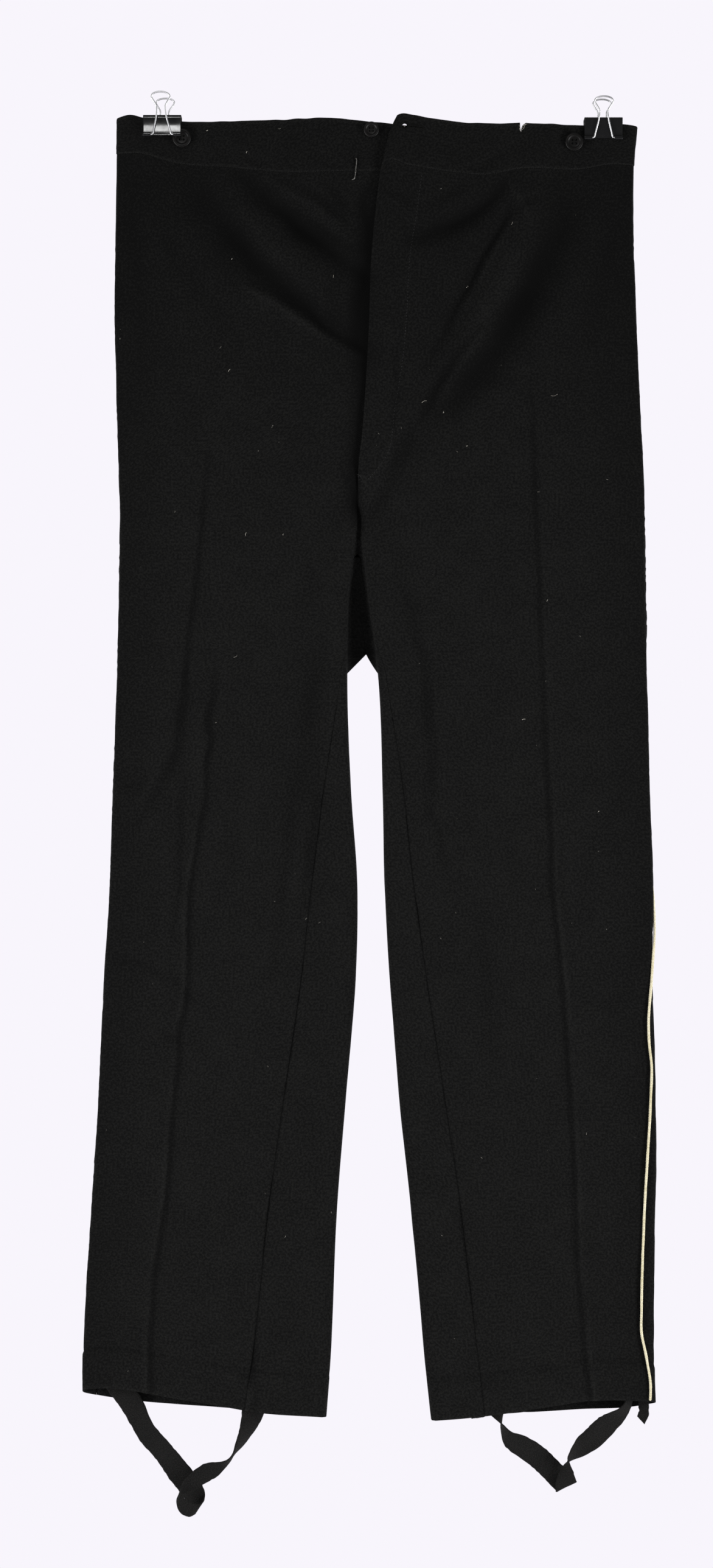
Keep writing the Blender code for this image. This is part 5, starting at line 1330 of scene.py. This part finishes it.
def makeHandle(side, face, bottom):
    # A wire handle, from the foot in one end of the rolled lip over the loop to the other.
    setting = clipSetting
    sign = -1 if face == "front" else 1
    jaw = setting["jaw"][side][0 if face == "front" else 1]
    foot = sign * (jaw + (setting["wire"] + setting["clear"] + setting["sheet"]) + 0.02)
    clear = setting["spine"] + setting["sheet"] + setting["wire"] + setting["clear"]
    lean = sign * (clear + 3.4)
    top = setting["handleTop"][side] - (0.0 if face == "front" else setting["backLower"][side])
    shift = (-1.2 if face == "front" else 1.8) if side == "right" else 0.0
    reach = setting["footReach"]
    shape = [(reach + 4.8, 0), (reach + 1.6, 0), (reach + 0.3, 0.03), (reach - 0.4, 0.12)] + handleShape
    shape += [(-a, b) for a, b in shape[-2::-1]]
    places = []
    for across, up in smoothRows(shape, 8):
        rise = bottom + (top - bottom) * up
        out = foot + (lean - foot) * up
        if up > 0.05:
            out = sign * max(abs(out), np.interp(rise, [bottom, setting["top"][side]], [abs(foot), clear + 0.9]))
        places.append((clipPlaces[side] + across + shift * up, out, rise))
    wire = makeTube(f"clip_{side}_{face}_handle", places, setting["wire"], 14)
    finishPiece(wire, drawnWire, "wire", f"clip_{side}_{face}_wire")


def makeClip(side):
    # The sprung sheet of a clip, with its rolled lips, and both handles.
    setting = clipSetting
    middle = clipPlaces[side]
    frontJaw, backJaw = setting["jaw"][side]
    sheet, spine, top = setting["sheet"], setting["spine"], setting["top"][side]
    bottom = top - setting["height"] + 1.6
    half = sheet / 2
    # the sheet's middle line as (y, z), from the front lip over the spine to the back lip
    walls = [(-frontJaw - half, bottom), (-spine - half + 0.1, top - 1.7), (-spine + 0.6, top - half),
             (spine - 0.6, top - half), (spine + half - 0.1, top - 1.7), (backJaw + half, bottom)]
    walls = roundedPath(walls, 1.5, 6)
    # the front wall is a little hollow, upright above and leaning out towards the lip
    foot, shoulder = walls[0], walls[1]
    walls[1:1] = [foot + (shoulder - foot) * t + np.array((4 * setting["hollow"][side] * t * (1 - t), 0.0))
                  for t in np.linspace(0, 1, 12)[1:-1]]
    curl = setting["wire"] + setting["clear"] + half
    sweep = np.linspace(1.62 * math.pi, 0, 22)[:-1]
    frontLip = [np.array((-frontJaw - half - curl + curl * math.cos(a), bottom - curl * math.sin(a))) for a in sweep]
    backLip = [np.array((backJaw + half + curl - curl * math.cos(a), bottom - curl * math.sin(a))) for a in sweep[::-1]]
    path = np.array(frontLip + walls + backLip)
    along = lengthsAlong(path)
    count = 150
    fine = np.linspace(0, along[-1], count)
    y, z = np.interp(fine, along, path[:, 0]), np.interp(fine, along, path[:, 1])
    dy, dz = np.gradient(y), np.gradient(z)
    size = np.hypot(dy, dz)
    wayY, wayZ = -dz / size, dy / size
    halfWidth = setting["width"] / 2
    marks = [16.0, 15.9, 15.7, 15.3, 14.0, 12.0, 10.2, 9.75, 9.5, 9.4, 8.6, 6.0, 3.0]
    xs = np.array([-mark for mark in marks] + [0.0] + marks[::-1]) * halfWidth / 16.0
    points = np.zeros((count, len(xs), 3))
    ways = np.zeros_like(points)
    points[..., 0] = middle + xs[None, :]
    points[..., 1] = (y + wayY * half)[:, None]
    points[..., 2] = (z + wayZ * half)[:, None]
    ways[..., 1] = wayY[:, None]
    ways[..., 2] = wayZ[:, None]
    lipLength = along[len(frontLip)]
    inLip = (fine < lipLength - 0.6) | (fine > along[-1] - lipLength + 0.6)
    present = np.ones((count - 1, len(xs) - 1), bool)
    inner = np.abs((xs[1:] + xs[:-1]) / 2) < setting["lipFrom"]
    present[np.ix_((inLip[1:] | inLip[:-1]), inner)] = False
    ends = np.minimum(halfWidth - np.abs(xs)[None, :], np.minimum(fine, fine[-1] - fine)[:, None])
    drop = edgeDrop(ends, 0.3)
    uvs = np.stack(np.broadcast_arrays(xs[None, :], fine[:, None]), axis=-1)
    body = makeShell("clip_" + side + "_sheet", points, ways, uvs, sheet, drop, False, present=present)
    pointOut(body.data)
    body.data.set_sharp_from_angle(angle=math.radians(40))
    finishPiece(body, blackEnamel, "lacquer", "clip_" + side)
    for face in ("front", "back"):
        makeHandle(side, face, bottom)


for side in ("right", "left"):
    makeClip(side)

print("hook")
hookPlaces = [
    (-21.9, -36.4), (-21.3, -37.2), (-21.4, -40), (-22, -45), (-22.5, -50.5), (-23.4, -53.4), (-25.2, -54.2)]
hookSetting = {"radius": 0.45, "off": 0.25}


def clothTree(things):
    vertices, faces = [], []
    for thing in things:
        first = len(vertices)
        vertices += [v.co for v in thing.data.vertices]
        faces += [[first + i for i in p.vertices] for p in thing.data.polygons]
    return BVHTree.FromPolygons(vertices, faces)


frontTree = clothTree([frontCloth["right"], frontCloth["left"], bands["right"], bands["left"]])


def onFront(x, z, off):
    # The place on the front of the cloth at a sideways place and a height, moved out.
    hit = frontTree.ray_cast(Vector((x, -80.0, z)) * mm, Vector((0, 1, 0)))
    if hit[0] is None:
        return None, None
    out = Vector(hit[1]) if hit[1].y < 0 else -Vector(hit[1])
    return np.array(hit[0] + out * off * mm) / mm, np.array(out)


places = []
for x, z in smoothRows(hookPlaces, 6):
    depth = min(onFront(x + dx, z + dz, 0)[0][1] for dx in (-1, 0, 1) for dz in (-2, 0, 2))
    places.append((x, depth - hookSetting["off"] - hookSetting["radius"], z))
hook = makeTube("waist_hook_wire", places, hookSetting["radius"], 12)
finishPiece(hook, greyWire, "wire", "waist_hook")

print("stitches")


def startTree(name, sizes):
    # A Geometry Nodes tree with a mesh in and out, and a named input for each size.
    tree = bpy.data.node_groups.new(name, "GeometryNodeTree")
    tree.interface.new_socket("Geometry", in_out="INPUT", socket_type="NodeSocketGeometry")
    for label, start in sizes.items():
        kind = "NodeSocketInt" if isinstance(start, int) else "NodeSocketFloat"
        tree.interface.new_socket(label, in_out="INPUT", socket_type=kind).default_value = start
    tree.interface.new_socket("Geometry", in_out="OUTPUT", socket_type="NodeSocketGeometry")
    return tree, addNode(tree, "NodeGroupInput")


def stitchTree(material):
    # Small thread stitches at an even pitch along seam lines, each lying on the cloth.
    tree, given = startTree("stitchRow", {"Pitch": 0.0015, "Length": 0.001, "Width": 0.0003, "Height": 0.0002})
    line = addNode(tree, "GeometryNodeMeshToCurve", {"Mesh": given.outputs["Geometry"]})
    even = addNode(tree, "GeometryNodeResampleCurve", {
        "Curve": line.outputs[0], "Length": given.outputs["Pitch"]}, mode="LENGTH")
    along = addNode(tree, "GeometryNodeInputTangent")
    out = addNode(tree, "GeometryNodeInputNamedAttribute", {"Name": "out"}, data_type="FLOAT_VECTOR")
    aimed = addNode(tree, "FunctionNodeAlignRotationToVector", {"Vector": along.outputs[0]}, axis="X")
    lying = addNode(tree, "FunctionNodeAlignRotationToVector", {
        "Rotation": aimed.outputs[0], "Vector": out.outputs[0]}, axis="Z", pivot_axis="X")
    size = addNode(tree, "ShaderNodeCombineXYZ", {
        "X": given.outputs["Length"], "Y": given.outputs["Width"], "Z": given.outputs["Height"]})
    change = addNode(tree, "FunctionNodeRandomValue", {"Seed": 5}, data_type="FLOAT")
    # the float sockets of this node are its second pair
    change.inputs[2].default_value, change.inputs[3].default_value = 0.8, 1.15
    scale = addNode(tree, "ShaderNodeVectorMath", {0: size.outputs[0], "Scale": change.outputs[1]}, operation="SCALE")
    turn = addNode(tree, "FunctionNodeRandomValue", {"Seed": 9}, data_type="FLOAT_VECTOR")
    turn.inputs[0].default_value, turn.inputs[1].default_value = (0, -0.05, -0.14), (0, 0.05, 0.14)
    loose = addNode(tree, "FunctionNodeRotateRotation", {
        "Rotation": lying.outputs[0], "Rotate By": turn.outputs[0]}, rotation_space="LOCAL")
    ball = addNode(tree, "GeometryNodeMeshUVSphere", {"Segments": 6, "Rings": 4, "Radius": 0.5})
    stitches = addNode(tree, "GeometryNodeInstanceOnPoints", {
        "Points": even.outputs[0], "Instance": ball.outputs[0], "Rotation": loose.outputs[0],
        "Scale": scale.outputs[0]})
    real = addNode(tree, "GeometryNodeRealizeInstances", {"Geometry": stitches.outputs[0]})
    smooth = addNode(tree, "GeometryNodeSetShadeSmooth", {"Geometry": real.outputs[0]})
    dressed = addNode(tree, "GeometryNodeSetMaterial", {"Geometry": smooth.outputs[0], "Material": material})
    addNode(tree, "NodeGroupOutput", {0: dressed.outputs[0]})
    return tree


def setInputs(modifier, values):
    # Sets a modifier's inputs by their sockets' identifiers.
    names = {item.name: item.identifier for item in modifier.node_group.interface.items_tree
             if item.item_type == "SOCKET" and item.in_out == "INPUT"}
    for name, value in values.items():
        modifier[names[name]] = value


def sewLines(name, lines, setting, material):
    # Stitches along lines of (place, way out), each as its own thread.
    vertices, edges, outs = [], [], []
    for line in lines:
        first = len(vertices)
        vertices += [tuple(place * mm) for place, way in line]
        outs += [way for place, way in line]
        edges += [(first + i, first + i + 1) for i in range(len(line) - 1)]
    mesh = bpy.data.meshes.new(name)
    mesh.from_pydata(vertices, edges, [])
    layer = mesh.attributes.new("out", "FLOAT_VECTOR", "POINT")
    layer.data.foreach_set("vector", np.array(outs, dtype=np.float32).ravel())
    thing = newObject(name, mesh)
    modifier = thing.modifiers.new("stitches", "NODES")
    modifier.node_group = stitchTree(material)
    setInputs(modifier, {key: value * mm for key, value in setting.items()})
    putModifiersIn(thing)
    finishPiece(thing, material, "tape")
    print(name, len(thing.data.polygons))


def frontLine(points, step, off):
    # A line over the front of the cloth through given (x, z) places.
    points = np.array(points, float)
    along = np.concatenate([[0], np.cumsum(np.hypot(*np.diff(points, axis=0).T))])
    fine = np.linspace(0, along[-1], max(3, int(along[-1] / step)))
    line = []
    for x, z in zip(curveThrough(along, points[:, 0], fine), curveThrough(along, points[:, 1], fine)):
        place, way = onFront(x, z, off)
        if place is not None:
            line.append((place, way))
    return line


def bandSeamLine(side, proud, rise, lengthShare):
    # The sewing along the waist seam, all the way round one half.
    outline = outlineAt(side, -cloth["bandHeight"])
    lengths = np.linspace(1.0, outline.total * lengthShare, 420)
    grid, ways, _ = layGrid(side, [-cloth["bandHeight"]], [list(lengths)])
    return [(place + way * proud + np.array([0, 0, rise]), way) for place, way in zip(grid[0], ways[0])]


sewLines("waist_seam_stitches", [bandSeamLine(side, 0.02, -0.10, 0.998) for side in ("right", "left")],
         {"Pitch": 1.5, "Length": 0.95, "Width": 0.34, "Height": 0.26}, dullTwist)
flyRow = [
    (33, -51.5), (29.1, -81.1), (23.5, -117.3), (20.4, -169.8), (16.3, -212.2), (11, -243.8), (2.5, -287.6),
    (-3.6, -295.8), (-10.7, -304), (-16.3, -308), (-19.9, -303)]
sewLines("fly_stitches", [frontLine(flyRow, 1.0, 0.02)], {"Pitch": 2.5, "Length": 1.2, "Width": 0.34, "Height": 0.2},
         blackTwist)
tack = [[(-21.4 + 0.55 * k, -300.6 - 0.35 * k), (-14.6 - 0.15 * k, -302.2 - 0.9 * k)] for k in range(7)]
sewLines("bar_tack", [frontLine(line, 0.7, 0.05) for line in tack],
         {"Pitch": 1.0, "Length": 1.15, "Width": 0.3, "Height": 0.2}, dullTwist)


def keyholeLines():
    # The worked edge of the buttonhole: close stitches across its rim.
    inner, outer = (np.array(loop + loop[:1]) for loop in (keyhole(0.15, 40), keyhole(1.25, 40)))
    along = np.concatenate([[0], np.cumsum(np.hypot(*np.diff(inner, axis=0).T))])
    lines = []
    for s in np.arange(0, along[-1], 0.42):
        a, b = ([np.interp(s, along, loop[:, k]) for k in (0, 1)] for loop in (inner, outer))
        line = []
        for t in (0.05, 0.35, 0.7, 1.0):
            place, way = onFront(a[0] + (b[0] - a[0]) * t, a[1] + (b[1] - a[1]) * t, 0.05)
            if place is not None and place[1] < -4:
                line.append((place, way))
        if len(line) > 2:
            lines.append(line)
    return lines


sewLines("buttonhole_stitches", keyholeLines(),
         {"Pitch": 0.55, "Length": 0.7, "Width": 0.32, "Height": 0.30}, darkTwist)

print("loose threads and lint")


def lintTree(material):
    # Short bent fibres strewn over a cloth's outer face.
    tree, given = startTree("lint", {"Density": 150.0, "Fibre Length": 0.002, "Fibre Radius": 0.00006, "Seed": 0})
    strewn = addNode(tree, "GeometryNodeDistributePointsOnFaces", {
        "Mesh": given.outputs["Geometry"], "Density": given.outputs["Density"], "Seed": given.outputs["Seed"]})
    bend = addNode(tree, "GeometryNodeCurvePrimitiveBezierSegment", {
        "Resolution": 5, "Start": (-0.5, 0, 0), "Start Handle": (-0.2, 0.28, 0.1), "End Handle": (0.15, -0.2, 0.12),
        "End": (0.5, 0.05, 0.0)})
    stretch = addNode(tree, "ShaderNodeCombineXYZ", {axis: given.outputs["Fibre Length"] for axis in "XYZ"})
    sized = addNode(tree, "GeometryNodeTransform", {"Geometry": bend.outputs[0], "Scale": stretch.outputs[0]})
    section = addNode(tree, "GeometryNodeCurvePrimitiveCircle", {
        "Resolution": 4, "Radius": given.outputs["Fibre Radius"]})
    fibre = addNode(tree, "GeometryNodeCurveToMesh", {
        "Curve": sized.outputs[0], "Profile Curve": section.outputs[0], "Fill Caps": True})
    spin = addNode(tree, "FunctionNodeRandomValue", {"Seed": 3}, data_type="FLOAT_VECTOR")
    spin.inputs[0].default_value, spin.inputs[1].default_value = (-0.25, -0.25, 0), (0.25, 0.25, 6.2832)
    loose = addNode(tree, "FunctionNodeRotateRotation", {
        "Rotation": strewn.outputs["Rotation"], "Rotate By": spin.outputs[0]}, rotation_space="LOCAL")
    change = addNode(tree, "FunctionNodeRandomValue", {"Seed": 4}, data_type="FLOAT")
    change.inputs[2].default_value, change.inputs[3].default_value = 0.35, 1.6
    put = addNode(tree, "GeometryNodeInstanceOnPoints", {
        "Points": strewn.outputs["Points"], "Instance": fibre.outputs[0], "Rotation": loose.outputs[0],
        "Scale": change.outputs[1]})
    real = addNode(tree, "GeometryNodeRealizeInstances", {"Geometry": put.outputs[0]})
    dressed = addNode(tree, "GeometryNodeSetMaterial", {"Geometry": real.outputs[0], "Material": material})
    addNode(tree, "NodeGroupOutput", {0: dressed.outputs[0]})
    return tree


def strewLint(name, sheets, setting):
    # A copy of the outer faces carries the tree, so the cloth itself is left alone.
    work = bmesh.new()
    for sheet in sheets:
        work.from_mesh(sheet.data)
    half = [f for f in work.faces if abs(f.normal.y) < 0.3 or f.calc_center_median().y * f.normal.y < 0]
    bmesh.ops.delete(work, geom=half, context="FACES")
    mesh = bpy.data.meshes.new(name)
    work.to_mesh(mesh)
    work.free()
    thing = newObject(name, mesh)
    modifier = thing.modifiers.new("lint", "NODES")
    modifier.node_group = lintTree(paleFibre)
    setInputs(modifier, setting)
    putModifiersIn(thing)
    finishPiece(thing, paleFibre, "cord")
    print(name, len(thing.data.polygons))


allCloth = list(frontCloth.values()) + list(backCloth.values()) + list(bands.values())
strewLint("lint", allCloth, {"Density": 120.0, "Fibre Length": 0.0012, "Fibre Radius": 0.00004, "Seed": 11})

# Specks and hairs that show on the front: x, z, slant in degrees, length, radius.
specks = [
    (70.4, -144.3, 40, 2, 0.16), (33.2, -241.2, 25, 4.5, 0.10), (51, -249.4, 70, 1.4, 0.14),
    (70.4, -277.4, 10, 1.4, 0.14), (108.1, -91.8, 60, 2.4, 0.07), (-114.2, -352.4, 80, 3, 0.11),
    (-124.4, -453.9, 30, 3.4, 0.07), (117.3, -506.4, 15, 2.6, 0.16), (137.7, -407, 55, 1.6, 0.14),
    (181.1, -583.4, 35, 1.3, 0.15), (-147.4, -12.2, 20, 1.5, 0.17), (-113.7, -31.6, 65, 1.3, 0.15),
    (-86.7, -11.2, 5, 1.8, 0.07), (-126.2, -121, 45, 1.2, 0.14), (-41, -136.2, 85, 2.2, 0.08),
    (-128.6, -214.9, 50, 2.4, 0.11), (-220.2, -187, 75, 1.2, 0.11), (-92.3, -262, 60, 2.6, 0.05),
    (141.2, -235, 12, 6, 0.05), (-83, -352, 75, 1.6, 0.10)]
# Pale threads of the torn place in the waistband's top, and hairs on its cut edges.
frayed = [
    (121.6, -7.2, -150, 4.6, 0.10), (119.4, -8.4, -118, 4, 0.10), (118, -9.6, -112, 4.4, 0.09),
    (114.6, -8.2, -74, 3.6, 0.08), (115, -10.6, -62, 3.2, 0.08), (120.4, -8, 150, 3.2, 0.07),
    (18, -9.2, 12, 1.5, 0.34), (18.3, -10, 24, 1.2, 0.26)]


def makeLooseThreads(name, rows, material, off, bendShare):
    # Each thread lies on the front of the cloth, bent a little to one side.
    work = bmesh.new()
    for number, (x, z, slant, length, radius) in enumerate(rows):
        angle = math.radians(slant)
        places = []
        for t in np.linspace(0, 1, 7):
            bow = length * bendShare * (1 if number % 2 else -1) * math.sin(math.pi * t)
            place, way = onFront(x + t * length * math.cos(angle) - bow * math.sin(angle),
                                 z + t * length * math.sin(angle) + bow * math.cos(angle), off + radius)
            if place is not None:
                places.append(place)
        if len(places) < 3:
            continue
        thread = makeTube("thread", places, radius, 5)
        work.from_mesh(thread.data)
        bpy.data.objects.remove(thread, do_unlink=True)
    mesh = bpy.data.meshes.new(name)
    work.to_mesh(mesh)
    work.free()
    mesh.shade_smooth()
    finishPiece(newObject(name, mesh), material, "cord")


makeLooseThreads("specks", specks, paleFibre, 0.05, 0.16)
makeLooseThreads("frayed_threads", frayed, paleFibre, 0.1, 0.12)

print("light and floor")
stageSetting = {"sky": "#f8f5fc", "fill": 0.30, "floor": "#f1eff3", "floorZ": -1.62, "floorRadius": 1.7}
world = bpy.data.worlds.new("studio")
bpy.context.scene.world = world
world.use_nodes = True
seen = world.node_tree.nodes["Background"]
seen.inputs["Color"].default_value = hexColour(stageSetting["sky"])
fill = addNode(world.node_tree, "ShaderNodeBackground", {
    "Color": hexColour("#ffffff"), "Strength": stageSetting["fill"]})
rays = addNode(world.node_tree, "ShaderNodeLightPath")
choice = addNode(world.node_tree, "ShaderNodeMixShader", {
    0: rays.outputs["Is Camera Ray"], 1: fill.outputs[0], 2: seen.outputs[0]})
world.node_tree.links.new(choice.outputs[0], world.node_tree.nodes["World Output"].inputs["Surface"])
work = bmesh.new()
bmesh.ops.create_circle(work, cap_ends=True, segments=96, radius=stageSetting["floorRadius"])
floorMesh = bpy.data.meshes.new("floor")
for vertex in work.verts:
    vertex.co.z = stageSetting["floorZ"]
work.to_mesh(floorMesh)
work.free()
floor = newObject("floor", floorMesh)
floorPaint, floorTree, floorShader = startMaterial("paleFloor")
feed(floorTree, floorShader, {"Base Color": hexColour(stageSetting["floor"]), "Roughness": 0.9})
floorMesh.materials.append(floorPaint)


def addLamp(name, place, aim, size, power):
    data = bpy.data.lights.new(name, "AREA")
    data.shape = "RECTANGLE"
    data.size, data.size_y = size
    data.energy = power
    lamp = newObject(name, data)
    lamp.location = place
    lamp.visible_camera = False
    lamp.rotation_euler = (Vector(aim) - Vector(place)).to_track_quat("-Z", "Y").to_euler()


addLamp("left_softbox", (-1.45, -0.74, -0.84), (-0.1, 0, -0.66), (0.42, 1.3), 26)
addLamp("right_softbox", (1.45, -0.74, -0.84), (0.1, 0, -0.66), (0.42, 1.3), 26)
addLamp("front_card", (-0.265, -1.55, 0.74), (-0.18, 0, 0), (0.14, 0.28), 4.4)
addLamp("left_back_softbox", (-1.2, 1.0, 0.0), (-0.1, 0, -0.5), (0.5, 1.5), 10)
addLamp("right_back_softbox", (1.2, 1.0, 0.0), (0.1, 0, -0.5), (0.5, 1.5), 10)
bpy.context.scene.view_settings.view_transform = "Standard"
bpy.context.scene.view_settings.look = "None"
